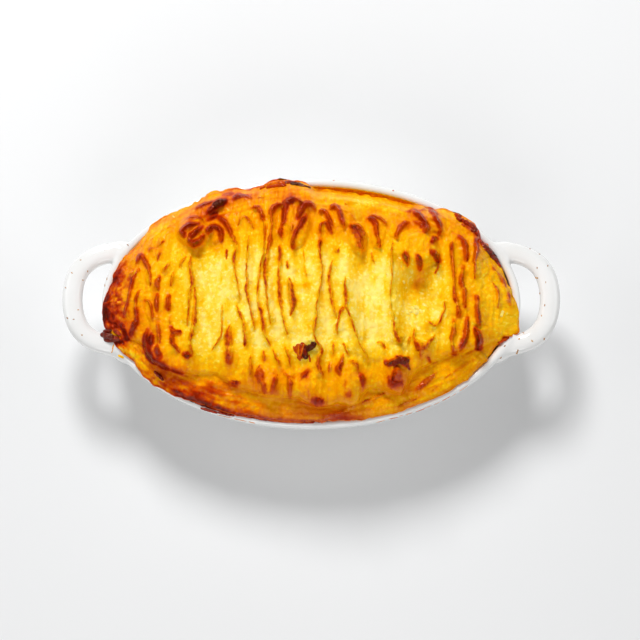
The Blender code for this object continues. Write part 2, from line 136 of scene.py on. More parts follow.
# Crests as (tone, height, (x, y, bead radius), ...). Tone 1 toasts with thickness, more is burnt.
CRESTS = (
    # left end
    (1.0, 2.2, (-83, 18, .4), (-81, 21.5, 1.3), (-77.5, 16.5, 1.0), (-76, 11.5, .6), (-76, 7, .5)),
    (1.0, 1.2, (-71.3, 23.8, .5), (-72, 21.5, .8), (-72.7, 18.8, .4)),
    (0.9, 1.0, (-72.6, 26, .5), (-70, 28.2, .7)),
    (0.9, 1.0, (-77.5, 24.2, .4), (-74.5, 25.2, .6)),
    (1.1, 1.8, (-81.8, 14.8, .8), (-84.6, 10, .9), (-86.1, 3, .7), (-87, -1, .6), (-89, -7.5, .5)),
    (1.0, 1.2, (-84.4, 14.8, .5), (-86.4, 10, .7)),
    (1.1, 2.2, (-81, 5.5, .3), (-83, .5, .7), (-83, -4, .8), (-82.5, -8, .9), (-83.5, -11.5, 1.3),
     (-85.5, -15, 1.0)),
    (1.2, 2.0, (-90, -10.5, .8), (-87.5, -17, 1.3)),
    (0.85, 2.0, (-66.5, 17.8, .4), (-68.5, 15.2, 1.0), (-70.3, 12.8, .6)),
    (1.1, 2.4, (-71.8, 11, .9), (-72.6, 8, 1.2), (-72.2, 5, .6)),
    (1.0, 2.4, (-72.6, 2.6, .7), (-73, -1.5, 1.1), (-72.8, -5, .8)),
    (0.8, 2.0, (-72.4, -10.5, .5), (-71.8, -15, 1.0), (-71.5, -20, .9)),
    (1.0, 1.8, (-78.5, 0, .6), (-76.5, -1, .6), (-75, -6, .6), (-74.5, -10, .4)),
    (1.2, 2.6, (-77.5, -14, .7), (-78.5, -19, 1.4), (-77.5, -23.5, 1.6), (-75.5, -27.5, 1.5),
     (-72.5, -29, 1.1), (-69.5, -31, 1.0), (-66, -32.5, .8), (-61, -34, .5)),
    (1.2, 2.2, (-75.5, -16, .6), (-75.5, -18, 1.4), (-76.5, -21.5, 1.2)),
    (1.1, 2.2, (-72.5, -22, .7), (-72.5, -24, 1.2), (-71, -27, 1.2)),
    (0.9, 2.4, (-65, 13, .6), (-65.6, 10, .9), (-66.4, 6.8, .6)),
    (1.1, 2.4, (-67, 1.8, .9), (-67.4, -1.5, 1.2), (-67.3, -4.4, 1.0)),
    (0.8, 1.6, (-66.8, -8.5, .4), (-66.5, -11, .5)),
    (1.2, 2.0, (-66, -13, .9), (-64.8, -15, 1.2), (-62, -15.4, 1.2)),
    (1.1, 2.4, (-65.2, -16.5, 1.1), (-65.6, -20, 1.0), (-62, -24.5, .6)),
    (1.0, 1.6, (-59.2, 20.5, .5), (-61, 18, .7), (-62.4, 15.4, .4)),
    (1.0, 2.6, (-57, 20, .4), (-57, 14.5, .8), (-56, 8, .9), (-57, 4, .4), (-57.5, -4, .5),
     (-58.5, -12.5, .4)),
    (0.9, 2.6, (-55, 5.5, .5), (-54.5, -1, .8), (-55, -10.5, 1.1), (-56, -15.5, .9), (-57, -20.5, .7),
     (-56, -25.5, .7)),
    (1.4, 2.0, (-60, -26, .9), (-58, -26.5, 1.4), (-56.5, -26.5, .6)),
    # upper left curls
    (1.1, 2.4, (-53.4, 36.2, .6), (-58.4, 35, .9), (-61.2, 32.4, 1.1), (-59.6, 29.8, .8)),
    (1.2, 2.4, (-51.5, 34.5, .6), (-55.5, 31, 1.3), (-57.5, 28.5, 1.4), (-56, 26.5, 1.3),
     (-53, 27.5, 1.2), (-51, 30, 1.0)),
    (1.1, 2.4, (-49, 31.5, .6), (-48.5, 33, 1.1), (-46, 35, 1.1), (-43, 33, 1.1), (-42.5, 28.5, 1.0)),
    (1.1, 1.8, (-49, 39, .9), (-45.5, 41, 1.4)),
    (0.9, 1.2, (-58.5, 39, .4), (-54, 39.5, .6), (-51, 38, .4)),
    (1.5, 2.6, (-49.8, 41.8, .3), (-47, 44.2, .9), (-44.2, 46.6, 1.5), (-41.6, 47.6, 1.4)),
    (1.1, 1.2, (-55, 44.2, .4), (-52, 46.2, .9), (-46, 48.2, .6)),
    (1.1, 1.4, (-37.3, 48.4, .6), (-35.3, 50.4, 1.4), (-32, 50.4, 1.0), (-28.4, 49.2, .4)),
    (1.0, 1.2, (-42, 51.6, .8), (-38.5, 52, 1.1)),
    (0.8, 0.8, (-26, 49.4, .6), (-22.5, 49.4, .5)),
    # between the left pale grooves
    (0.8, 1.6, (-42, -3, .3), (-42, -9, .4), (-42.5, -17, .5), (-46.5, -23.5, .5)),
    (0.82, 1.6, (-38, -12, .4), (-39, -16, 1.7), (-39, -19.5, 2.2), (-38.5, -24.5, 2.5), (-38.5, -29, 1.8)),
    (1.0, 2.6, (-43.5, 39.5, 1.1), (-40, 36, 1.2), (-37.5, 30.5, .9), (-36, 27.5, .8), (-35.5, 24.5, .5),
     (-36.5, 18.5, .9), (-36, 14, .5), (-34.5, 6, .3), (-33.5, 0, .3)),
    (0.9, 2.4, (-35, -3, .4), (-33.5, -7, .8), (-32, -10.5, .9), (-31.5, -14.5, .6), (-31, -17.5, .8),
     (-31, -21.5, 1.1)),
    (0.9, 1.2, (-40, 23, 1.0), (-40, 19.5, .6)),
    (0.8, 1.6, (-34.5, 35.5, .3), (-33.5, 38.5, .6), (-31.5, 39.5, .8), (-29.5, 37.5, .7), (-27, 33.5, .3)),
    (0.9, 2.4, (-29.5, 30, .3), (-30, 21.5, .4), (-30.5, 14, .5), (-30, 8.5, .8), (-30.5, 4, .9),
     (-29.5, 0, .8), (-28.5, -4.5, .4), (-27.5, -9.5, .8), (-26.5, -14, .3)),
    (0.8, 2.0, (-28.5, -26.5, .4), (-28.5, -30.5, .9), (-28.5, -36, .6)),
    (1.0, 2.6, (-28, 44, .5), (-25.5, 44, .9), (-24, 42, 1.1), (-23, 39, .8), (-22, 35, .4),
     (-22, 29.5, .3), (-22.5, 22, .3), (-24, 15, .5), (-25, 6, .6), (-25, -1.5, .7), (-23.5, -6, .9),
     (-22.5, -11, .9), (-22, -16.5, .6), (-19, -22, .3)),
    (0.8, 2.0, (-18, -24, .4), (-16, -28.5, .9), (-14.5, -31.5, .5)),
    (1.2, 1.6, (-22.5, -25, .8), (-22, -28.5, .8)),
    (0.85, 2.2, (-24, -31.5, .8), (-24.5, -35.5, 2.0), (-23, -39, 1.5), (-22, -42, .9), (-20, -43.5, .5),
     (-18, -42, .8), (-17, -39, 1.2), (-16, -36, .7)),
    (0.95, 2.8, (-13.5, 45.5, .5), (-16.5, 45, 1.2), (-18.5, 43, 1.4), (-19, 40, .9), (-18.5, 36.5, .4),
     (-19, 31.5, .5), (-19.5, 27, 1.2), (-20.5, 21.5, 1.0), (-21.5, 16, 1.2), (-21.5, 10, 1.1),
     (-21, 4, .6), (-20.5, -3, .5), (-19, -12, .3)),
    (1.05, 3.0, (-3.5, 45.5, .3), (-7, 47.5, .8), (-9.5, 47.5, 1.8), (-12, 46, 1.8), (-12.5, 42, 1.4),
     (-13, 37.5, 1.1), (-14, 35, .5), (-14.5, 32.5, 1.1), (-14, 29.5, .5)),
    (0.95, 2.8, (-15, 25, .9), (-14.5, 21, 1.1), (-15, 14, 1.0), (-15, 7, .9), (-14.5, 0, 1.1),
     (-14, -4, .6), (-13, -10, .5), (-11, -17, .5)),
    (0.85, 2.0, (-12, -23, .6), (-10.5, -27, .8), (-9.5, -32, .4)),
    (0.9, 1.6, (-9, 35.5, .5), (-9, 31, .6)),
    (1.0, 3.0, (2, 42.5, .4), (.5, 45, 1.0), (-2, 45.5, 1.7), (-4.5, 43, 2.0), (-6, 38.5, 1.3)),
    (1.15, 2.8, (-2.5, 39.5, .8), (-4.5, 35.5, 1.2), (-7, 31.5, .9), (-8.5, 27.5, .9), (-8.5, 24.5, .9)),
    (0.85, 1.8, (-11, 17.5, 1.0), (-11, 14.5, .8)),
    (0.9, 2.8, (-10.5, 9.5, .9), (-9.5, 5, 1.4), (-9, 1, 2.0), (-8.5, -3, 2.0), (-9.5, -8, .5)),
    # centre
    (0.8, 1.6, (-3.5, 23, .3), (-3, 15, .4), (-2, 10.5, .3)),
    (1.05, 2.4, (3.5, 41, .5), (5, 42.5, .8), (7, 41.5, 1.0), (8.5, 38.5, .9), (10.5, 34, .3)),
    (1.0, 2.4, (4.5, 31, .4), (4.5, 35, .5), (6.5, 36.5, .8), (8, 35.5, 1.2), (9.5, 31.5, .7)),
    (0.95, 2.8, (4.5, 28.5, .8), (4, 23, .8), (4.5, 18.5, .5), (5, 14.5, .5), (4.5, 6, .3), (2.5, -3, .4),
     (2.5, -8.5, .6), (1.5, -14, .8), (1.5, -17.5, .4), (3, -21, .6), (5, -24.5, .9), (3.5, -29, 1.2),
     (4, -33, .9), (5.5, -36, .4)),
    (1.05, 2.8, (8.5, 43, .5), (11, 44.5, 1.5), (13, 42.5, 1.4), (14, 39.5, 1.2), (15, 36, .9),
     (15.5, 34, .3)),
    (0.8, 1.4, (14, 44, .4), (16.5, 42, .4), (19, 40, .4), (21, 37.5, .3)),
    (0.8, 1.2, (16, 46, .6), (17.5, 45.5, .8)),
    (0.9, 1.4, (11, 24, .5), (12.5, 22, .7), (13.5, 24, .5)),
    (0.9, 2.6, (10, 18, .3), (9, 14, .7), (8.5, 10, .9), (9, 5, 1.0), (9.5, .5, .9), (10, -3, .6),
     (12, -9.5, .3)),
    (0.9, 2.6, (16, 10, .3), (16, 4.5, .8), (16.5, 0, 1.0), (16.5, -4, .7), (18, -8, .5), (19.5, -12, .6),
     (21, -16.5, .5), (22.5, -21, .4), (27, -28.5, .3)),
    (0.9, 2.2, (16.5, -4, .6), (14, -6, .9), (13, -9.5, .6), (12, -14, .8), (12.5, -16.5, .3)),
    (0.8, 1.6, (10.5, -21, .7), (10, -26.5, .8)),
    (0.8, 1.8, (15.5, -21.5, 1.0), (17.5, -26.5, .8)),
    (1.0, 2.2, (15, -26.5, .5), (14, -30.5, 1.1), (13, -33, 1.6), (13.5, -35.5, .8)),
    (0.75, 1.6, (9, -30.5, .9), (8.5, -34, 1.0)),
    (0.85, 2.4, (18.6, -29.4, .7), (21, -30.8, 1.2), (22.2, -33.6, .6)),
    (1.15, 2.4, (22.8, -35.2, .6), (24.1, -37.6, 1.4), (24.4, -39.6, .8)),
    (1.1, 1.4, (-1.5, -34, .8), (-3.5, -36, 1.2), (-4.5, -37.5, .5)),
    (0.85, 2.2, (-10.5, -37, .9), (-10, -40.5, 1.4), (-10, -44.5, .8)),
    (1.0, 1.2, (-13, -34, .7), (-11.5, -36, .6), (-8, -37.5, .4)),
    # right of the centre
    (0.8, 2.2, (18.6, 35.4, .8), (21.2, 32, 2.2), (22.8, 28.5, 2.0), (23.4, 25, 1.3), (23.8, 22.8, .6)),
    (1.3, 2.6, (19, 34.4, .8), (20.4, 33.6, 1.4), (21.6, 32, .6)),
    (0.95, 2.2, (20.5, 35.8, .6), (23.2, 34, .9), (24.8, 30.8, .7), (25.2, 28.6, .4)),
    (0.9, 1.4, (28.5, 22, .6), (29, 19, .5), (30, 17.5, .3)),
    (1.05, 2.8, (26.5, 39, .6), (28.5, 38.5, 1.2), (30.5, 36, 1.5), (31, 32.5, 1.1), (31.5, 29.5, .8),
     (32, 27, .9), (32.5, 25, .6)),
    (0.95, 2.0, (27.5, 40.5, .4), (30, 40, .6), (33, 38.5, .7), (34.5, 37, .7), (36, 35, .3)),
    (1.0, 2.8, (46.2, 37, .6), (44, 36.2, 1.2), (41.8, 33.4, 1.3), (40.4, 30.4, 1.0), (40, 28.8, .4)),
    (0.8, 2.6, (38.5, 27, .5), (38, 21, .6), (38, 9, .3), (37, 0, .3), (38.5, -9, .3), (39, -13, .7),
     (40, -17, 1.2), (41.5, -19.5, 1.6)),
    (1.05, 2.8, (46, 43, .5), (48.5, 43.5, 1.0), (50.5, 41.5, 1.5), (52.5, 39, 1.3), (54, 36.5, .9),
     (54.5, 34, 1.4), (53.5, 32, 1.2)),
    (1.0, 2.0, (49, 37.5, .6), (51.5, 36, .9), (53, 34, 1.0)),
    (1.05, 2.6, (52, 43.5, .4), (56, 45, 1.2), (58, 43, 1.3), (59, 40, 1.1), (60.5, 36.5, 1.2),
     (61.5, 34, 1.0), (60.5, 31.5, .6)),
    (1.3, 1.6, (57, 27, .9), (58.5, 29, 1.2), (60, 29.5, .8)),
    (1.35, 2.4, (44.2, 20.5, 1.2), (45, 18.8, 1.4), (45.8, 16, .6)),
    (1.35, 2.4, (50, 19.8, 1.0), (50.8, 17.6, 1.5), (51.6, 14.8, 1.0)),
    (1.35, 2.4, (57, 21.8, 1.1), (58.8, 20.6, 1.7), (60.4, 18.6, 1.3)),
    (1.0, 1.6, (60.4, 18, .9), (59.8, 15, .6), (58.6, 13, .8)),
    (0.8, 1.8, (55.5, -10.5, .6), (59, -12, .8), (62.5, -5.5, .8), (63, 1, .3)),
    (0.9, 1.6, (31.5, -20.5, .7), (33, -21, .9), (34.5, -23, 1.0)),
    (1.3, 2.6, (35, -29.5, .9), (36.5, -30.5, 1.2), (39, -29.5, 1.4), (41.5, -29, 1.6),
     (43.5, -29.5, 1.7), (45.5, -32, .6)),
    (1.3, 2.2, (40, -27.5, .8), (41.5, -28, 1.1), (45.5, -28, .8)),
    (0.85, 2.2, (40, -32.5, 1.4), (40, -35.5, 2.4), (39.5, -38.5, 2.6)),
    (1.2, 1.4, (36.5, -37, .7), (38, -39.5, 1.0), (42.5, -39.5, .7)),
    (0.75, 2.0, (48.5, -14, .3), (48.5, -18.5, .8), (51, -23.5, 2.4), (51.5, -27, .8)),
    (0.75, 2.0, (58, -17, .8), (55.5, -20.5, 1.4), (52.5, -23, 2.0)),
    (0.7, 1.4, (46.5, -18, .8), (45.5, -21, .8)),
    (0.9, 1.2, (54, -27, .6), (56.5, -28.5, .9)),
    # right end
    (0.9, 2.6, (67, 28, .6), (66.5, 24.5, 1.1), (67, 16.5, .8), (67.5, 8.5, .5), (67.5, 2.5, .9),
     (69, -2.5, 1.2), (69.5, -7.5, 1.3)),
    (0.85, 2.6, (67.5, -9.5, 1.0), (67, -15, 1.4), (66, -20, 1.0), (67.5, -24.5, 1.0)),
    (1.0, 2.8, (70.5, 30.5, 1.0), (72.5, 28, 1.3), (73.5, 24, 1.4), (73.5, 19.5, 1.1)),
    (0.95, 2.8, (72, 16, .9), (71, 8.5, 1.2), (72.5, 4.5, 1.1), (72.5, -3, .9)),
    (1.05, 2.8, (74, -8.5, .9), (73.5, -13.5, 1.4), (73, -17.5, 1.4), (71, -21.5, 1.1), (67.5, -24.5, 1.2)),
    (1.1, 1.2, (72.5, 38.2, .6), (74.5, 36.8, .9), (77, 34.6, 1.0), (78.6, 32.4, .8)),
    (1.0, 2.8, (78.5, 29, 1.2), (78.5, 25, 1.1), (77.5, 19.5, .9), (77.5, 16, .5), (77.5, 10.5, .4)),
    (1.05, 2.8, (78.5, 1.5, 1.1), (78.5, -4.5, 1.3), (79, -9.5, 1.3), (79.5, -11.5, .9)),
    (1.3, 2.8, (77.5, -13.5, 1.0), (79, -17.5, 1.7), (79.5, -21.5, 1.9)),
    (0.9, 1.6, (86, 9, .4), (88.5, 4.5, .9), (88.5, -3, .5)),
    (0.9, 1.4, (86.5, 16, .8), (91, 11, .9), (93.5, 4.5, 1.1), (94.5, -1, .8)),
    (0.9, 1.0, (50, -42, .6), (54, -38.5, 1.4), (59, -34.5, .7)),
    (0.9, 0.8, (57, -42.5, .4), (60, -40.5, .4)),
    (0.8, 0.6, (62.5, -37, .3), (72, -31, .4)),
    (0.95, 0.8, (41.5, -50, .5), (45.5, -48, .7), (50.5, -46, .4)),
    (0.85, 0.9, (24.5, -48, .6), (30, -46, .9), (35, -43.5, .4)),
    (0.5, 2.0, (2.5, -56.6, .4), (8, -55, .8), (15, -52.4, .9), (22.5, -48.4, .7)),
    # dark spots on the lobes
    (1.4, 0.8, (0.5, -46.6, .5), (3, -47.3, .8), (5.6, -47.2, .5)),
    (1.3, 0.6, (16.8, -45, .5), (18, -45.2, .7)),
    (1.3, 0.6, (-38.5, -38, .4), (-36, -39, .8), (-33.5, -38.7, .4)),
    # browned line along the near edge
    (1.0, 0.8, (-65, -42, .5), (-59, -45, .7), (-51.5, -48.2, .8), (-44.5, -50.5, .7), (-38, -52.2, .5)),
    (0.9, 0.6, (-36.5, -52.6, .5), (-28, -54.4, .4), (-18, -55.8, .5), (-8, -56.6, .4), (2, -56.7, .5)),
)

# Soft toasting of the potato, and painted shade under the heads at (-53, 22), (24, 20) and (50, 8.5), on the
# fold at (-3, 6.5) and (3, 1.5), and in the hollow before the lobes at (14, -51): x, y, half length, half
# width, amount.
TOAST_AND_PAINTED_SHADE_PATCHES = (
    (-98, 0, 6, 22, .70), (-91, 12, 5, 9, .60), (-92, -10, 8, 13, .45), (-80, 24, 16, 10, .24),
    (-66, 40, 22, 8, .20), (-52, 34, 13, 9, .24), (-44, 46, 14, 7, .30), (-25, 52, 22, 7, .24),
    (-10, 50, 14, 10, .24), (8, 48, 20, 8, .12), (30, 44, 22, 9, .10), (54, 38, 16, 9, .16),
    (76, 30, 11, 14, .10), (80, 0, 13, 26, .06), (94, -4, 9, 18, -.10), (-76, -14, 14, 16, .24),
    (-70, -34, 18, 9, .34), (-48, -46, 22, 7, .30), (-60, -44, 24, 7, .26), (-20, -52, 30, 7, .24),
    (18, -54, 26, 6, .22), (50, -42, 22, 8, .14), (70, -28, 14, 8, .18), (-24, -38, 9, 7, .16),
    (2, -44, 9, 7, .14), (19, -40, 9, 9, .08), (40, -36, 9, 8, .16), (53, -24, 9, 7, .20),
    (22, 28, 9, 9, .16), (-4, 30, 20, 14, .12), (50, 22, 11, 7, .24), (-72, 2, 12, 18, .16),
    (-39, -22, 4, 10, .36), (-57, -40, 16, 5, .24), (14, -51, 9, 2.4, .10), (15, -55.2, 9, 1.6, .50),
    (10, 50, 62, 9, -.16), (84, 5, 12, 28, -.16), (24, 47, 9, 4, -.20), (-3, 6.5, 4, 2.4, .60),
    (3, 1.5, 4.5, 2.6, .40), (-53, 22, 7, 5, .40), (24, 20, 7, 6, .35), (-44, 25, 5, 4, .25),
    (-70, 10, 20, 26, -.12), (50, 8.5, 5, 6, .55), (60, -6, 6, 5, -.45), (28, 0, 9, 16, -.15),
    (-50, 8, 7, 22, -.16), (-29, 4, 7, 20, -.16), (60, 12, 3, 12, -.15), (60, -18, 7, 4, -.25),
)


# ---------------------------------------------------------------- numbers and noise


def ease(value):
    share = np.clip(value, 0, 1)
    return share * share * (3 - 2 * share)


def scatter(ix, iy, seed):
    """A repeatable number from 0 to 1 for each whole-number cell."""
    mixed = (ix * 374761393 + iy * 668265263 + seed * 2246822519) & 0xFFFFFFFF
    mixed = ((mixed ^ (mixed >> 13)) * 1274126177) & 0xFFFFFFFF
    return ((mixed ^ (mixed >> 16)) & 0xFFFF) / 65535.0


def smooth_noise(x, y, cell_x, cell_y, seed):
    """Soft gradient noise from about -1 to 1 on cells of the given size."""
    gx, gy = np.asarray(x, dtype=float) / cell_x, np.asarray(y, dtype=float) / cell_y
    ix, iy = np.floor(gx).astype(np.int64), np.floor(gy).astype(np.int64)
    fx, fy = gx - ix, gy - iy

    def corner(step_x, step_y):
        turn = 2 * math.pi * scatter(ix + step_x, iy + step_y, seed)
        return np.cos(turn) * (fx - step_x) + np.sin(turn) * (fy - step_y)

    ux, uy = (f**3 * (f * (6 * f - 15) + 10) for f in (fx, fy))
    low = corner(0, 0) * (1 - ux) + corner(1, 0) * ux
    high = corner(0, 1) * (1 - ux) + corner(1, 1) * ux
    return 1.6 * (low * (1 - uy) + high * uy)


def rough_noise(x, y, cell, seed, octaves=3, stretch=1.0):
    """Several octaves of soft noise; stretch lengthens the cells along Y."""
    total = np.zeros_like(np.asarray(x, dtype=float))
    size, weight, sum_of_weights = cell, 1.0, 0.0
    for octave in range(octaves):
        total += weight * smooth_noise(x + 31.7 * octave, y, size, size * stretch, seed + octave)
        sum_of_weights += weight
        size, weight = size / 2, weight / 2
    return total / sum_of_weights


def spline(points, count):
    """Rows at even steps along a smooth curve through the given rows."""
    points = np.asarray(points, dtype=float)
    padded = np.vstack([2 * points[0] - points[1], points, 2 * points[-1] - points[-2]])
    along = np.linspace(0, len(points) - 1, count)
    span = np.minimum(along.astype(int), len(points) - 2)
    t = (along - span)[:, None]
    before, start, end, after = (padded[span + k] for k in range(4))
    return 0.5 * (
        2 * start
        + (end - before) * t
        + (2 * before - 5 * start + 4 * end - after) * t**2
        + (3 * start - before - 3 * end + after) * t**3
    )


def nearest_on(x, y, a, b):
    """Share of the way from a to b nearest each point, and the distance to it."""
    span = b - a
    share = np.clip(((x - a[0]) * span[0] + (y - a[1]) * span[1]) / max(span @ span, 1e-9), 0, 1)
    return share, np.hypot(x - a[0] - share * span[0], y - a[1] - share * span[1])


def table_value(table, column, key):
    rows = np.array(table, dtype=float)
    return np.interp(key, rows[:, 0], rows[:, column])


# ---------------------------------------------------------------- oval and crust edge


def oval(angle, inset):
    """Point of the rim's outline at this bearing, moved inwards along the outline's normal."""
    nx, ny = np.cos(angle) / RIM_A, np.sin(angle) / RIM_B
    length = np.hypot(nx, ny)
    return RIM_A * np.cos(angle) - inset * nx / length, RIM_B * np.sin(angle) - inset * ny / length


def inset_and_bearing(x, y):
    """Distance inside the rim's outline, negative outside, and the nearest outline point's bearing."""
    angle = np.arctan2(y / RIM_B, x / RIM_A)
    for _ in range(6):
        px, py = RIM_A * np.cos(angle), RIM_B * np.sin(angle)
        tx, ty = -RIM_A * np.sin(angle), RIM_B * np.cos(angle)
        offset = (x - px) * tx + (y - py) * ty
        curve = tx * tx + ty * ty + (x - px) * px + (y - py) * py
        angle = angle + np.clip(offset / np.maximum(curve, 200.0), -0.3, 0.3)
    px, py = RIM_A * np.cos(angle), RIM_B * np.sin(angle)
    away = np.hypot(x - px, y - py)
    outside = (x / RIM_A) ** 2 + (y / RIM_B) ** 2 > 1
    return np.where(outside, -away, away), angle


def edge_row(angle, column):
    """Crust edge table at these bearings, eased between its rows."""
    rows = np.array(CRUST_EDGE, dtype=float)
    bearings = np.append(rows[:, 0], rows[0, 0] + 360)
    values = np.append(rows[:, column], rows[0, column])
    wanted = (np.degrees(angle) + 180) % 360 - 180
    row = np.clip(np.searchsorted(bearings, wanted, side="right") - 1, 0, len(rows) - 1)
    share = ease((wanted - bearings[row]) / (bearings[row + 1] - bearings[row]))
    return values[row] + (values[row + 1] - values[row]) * share


def edge_raggedness(angle):
    x, y = oval(angle, 0)
    rough = 0.5 + 0.5 * smooth_noise(x, y, 11, 11, 13)
    return 0.6 * smooth_noise(x, y, 5.3, 5.3, 11) + rough * (
        0.6 * smooth_noise(x, y, 2.9, 2.9, 14) + 0.3 * smooth_noise(x, y, 1.4, 1.4, 12)
    )


def crust_inset(angle):
    """Ragged inset of the crust's edge."""
    return np.minimum(edge_row(angle, 1) + edge_raggedness(angle), WALL - 0.3 + 4 * edge_row(angle, 2))


def lip_height(inset):
    across = np.clip(inset - LIP_R, -LIP_R, LIP_R)
    return RIM_Z - LIP_R + np.sqrt(LIP_R**2 - across**2)


# ---------------------------------------------------------------- potato surface


# How crests waver, thin out, fray and brown. The fades say how far each side of a ridge reaches.
CREST_STEP = 0.7
CREST_REACH = 9.0
CREST_WAVER = 0.28
CREST_KNOBS = 0.22
BEAD_SCALE = 0.84
FRAYING = 0.3
BROKEN_TONE = 0.30
GRAINY_TONE = 0.14
STEEP_FADE = 2.1
GENTLE_FADE = 2.9
RIDGE_GAIN = 1.6
CREST_BORDER = 0.41
TONE_DEPTH = (
    (0.4, 0.55), (0.55, 0.70), (0.7, 0.84), (0.86, 0.90), (1.0, 0.93), (1.1, 1.0), (1.25, 1.15),
    (1.5, 1.28),
)
BEAD_GAIN = 0.52
HALO_TOAST = 0.42
HALO_REACH = 1.25


def crest_lines():
    """Each crest as rows of x, y, bead radius, height, tone and lean along a slightly wavering line."""
    lines = []
    for number, (tone, height, *points) in enumerate(CRESTS):
        points = np.array(points, dtype=float)
        length = np.hypot(*np.diff(points[:, :2], axis=0).T).sum()
        count = max(6, int(length / CREST_STEP))
        path = spline(points, count)
        along = np.linspace(0, length, count)
        waver = CREST_WAVER * smooth_noise(along, np.full(count, number * 7.0), 2.3, 1.0, 21)
        path[:, 0] += waver
        knobbly = 1 + CREST_KNOBS * smooth_noise(along, np.full(count, number * 5.0), 1.3, 1.0, 22)
        patchy = smooth_noise(along, np.full(count, number * 3.0), 4.6, 1.0, 23) * ease((length - 6) / 10)
        gap = 1 - 0.45 * ease((-patchy - 0.35) / 0.35)
        path[:, 2] = BEAD_SCALE * np.maximum(path[:, 2], 0.15) * knobbly * (1 + 0.25 * patchy)
        ends = ease(np.minimum(along, length - along) / 2.5 + 0.15)
        ahead = np.diff(points[:, :2], axis=0)
        turning = (ahead[:-1, 0] * ahead[1:, 1] - ahead[:-1, 1] * ahead[1:, 0]).sum()
        lean = np.sign(turning) if abs(turning) > 6 else (-1) ** number
        heights = height * (0.35 + 0.65 * ends)
        tones = tone * gap * (1 + 0.14 * patchy)
        lines.append(np.column_stack([path, heights, tones, np.full(count, lean)]))
    return lines


LINES = crest_lines()


def crest_fields(x, y):
    """Relief of the ridges, core toast and halo toast at flat arrays of points."""
    relief, core, halo = np.zeros_like(x), np.zeros_like(x), np.zeros_like(x)
    grain = rough_noise(x, y, 1.3, 111, 2)
    broken = rough_noise(x, y, 3.0, 121, 3, 1.5)
    for line in LINES:
        lo, hi = line[:, :2].min(0) - CREST_REACH, line[:, :2].max(0) + CREST_REACH
        near = np.nonzero((x > lo[0]) & (x < hi[0]) & (y > lo[1]) & (y < hi[1]))[0]
        if not len(near):
            continue
        px, py = x[near], y[near]
        best = np.full(len(near), 1e9)
        values = np.zeros((len(near), 4))
        side = np.zeros(len(near))
        for a, b in zip(line[:-1], line[1:]):
            share, away = nearest_on(px, py, a[:2], b[:2])
            closer = away < best
            best = np.where(closer, away, best)
            values[closer] = (a[2:] + (b[2:] - a[2:]) * share[:, None])[closer]
            beside = np.sign((b[0] - a[0]) * (py - a[1]) - (b[1] - a[1]) * (px - a[0]))
            side = np.where(closer, beside, side)
        radius, height, tone, lean = values.T
        gentle = side * lean > 0
        fade = np.where(gentle, GENTLE_FADE, STEEP_FADE)
        ridge = RIDGE_GAIN * height * np.exp(-best / fade)
        bead = BEAD_GAIN * np.sqrt(np.maximum((radius + 0.1) ** 2 - best**2, 0))
        relief[near] = np.maximum(relief[near], ridge + bead)
        frayed = best + FRAYING * grain[near]
        reach_out = 0.85 * radius + 0.32
        middle = 0.44 + 0.22 * np.minimum(radius, 1) + 0.10 * np.maximum(radius - 1, 0)
        from_dark = np.where(gentle, frayed + 0.4 * radius, np.abs(frayed - 0.4 * radius))
        inside = ease(1.35 * (1 - from_dark / reach_out))
        level = table_value(TONE_DEPTH, 1, tone) * (CREST_BORDER + (middle - CREST_BORDER) * inside)
        level = level + BROKEN_TONE * broken[near] + GRAINY_TONE * grain[near]
        core[near] = np.maximum(core[near], level * ease((reach_out - frayed) / 0.35))
        spread = HALO_REACH * np.where(gentle, 1.2, 0.85)
        glow = HALO_TOAST * tone * np.minimum(0.45 + 0.4 * radius + 0.08 * height, 1)
        glow = glow * np.exp(-np.maximum(best - radius, 0) / spread)
        halo[near] = np.maximum(halo[near], glow)
    return relief, core, halo


def shelf_distance(x, y):
    """Distance behind the forked layer's front edge; negative on the apron."""
    edge = table_value(SHELF_EDGE, 1, x) + 0.35 * smooth_noise(x, np.zeros_like(x), 3.0, 1.0, 31)
    slope = table_value(SHELF_EDGE, 1, x + 0.5) - table_value(SHELF_EDGE, 1, x - 0.5)
    return (y - edge) / np.sqrt(1 + slope**2)


def fork_lines(x, y):
    """Faint rounded strokes between the crests, from 0 to 1, bowed like the fork's path."""
    bowed = x / (1 - 0.10 * (y / 45) ** 2)
    wander = smooth_noise(x, y, 9, 22, 151)
    return np.exp(-((smooth_noise(bowed + 1.2 * wander, y, 3.6, 26, 152) / 0.28) ** 2))


# Widths and heights of the surface's features in millimetres.
FRONT_SLOPE = 3.2
EDGE_EASE = 7.0
SETTLE_REACH = 9.0
STROKE_HEIGHT = 0.5
STREAK_HEIGHT = 0.55
GRAIN_HEIGHT = 0.55
CRUMB_HEIGHT = 0.9
RIM_PER_RADIAN = 75

# Shares of toast.
GOLD = 0.32
PALE = 0.27
LOBE_MOTTLING = 0.20
# Painted shade: darker toast in the crease at the foot of the forked layer's front.
CREASE_PAINTED_SHADE = 0.0384
CREASE_SHADE = 0.0154
CRUMB_BLOTCHES = 0.42
FAINT_HALO = 0.22


def mound_height(x, y, bearing, depth):
    """The domed top with its rounded edge, before lobes, crests and grain."""
    edge_height = lip_height(np.clip(crust_inset(bearing), 0, WALL)) - edge_row(bearing, 2)
    reach = np.sqrt((x / (RIM_A - LIP_R)) ** 2 + (y / (RIM_B - LIP_R)) ** 2)
    mound = MOUND_RISE * (1 - np.clip(reach, 0, 1) ** MOUND_ROUNDNESS)
    settle = np.exp(-depth / SETTLE_REACH)
    return RIM_Z + (edge_height - RIM_Z) * settle + EDGE_THICKNESS * (1 - np.exp(-depth)) + mound


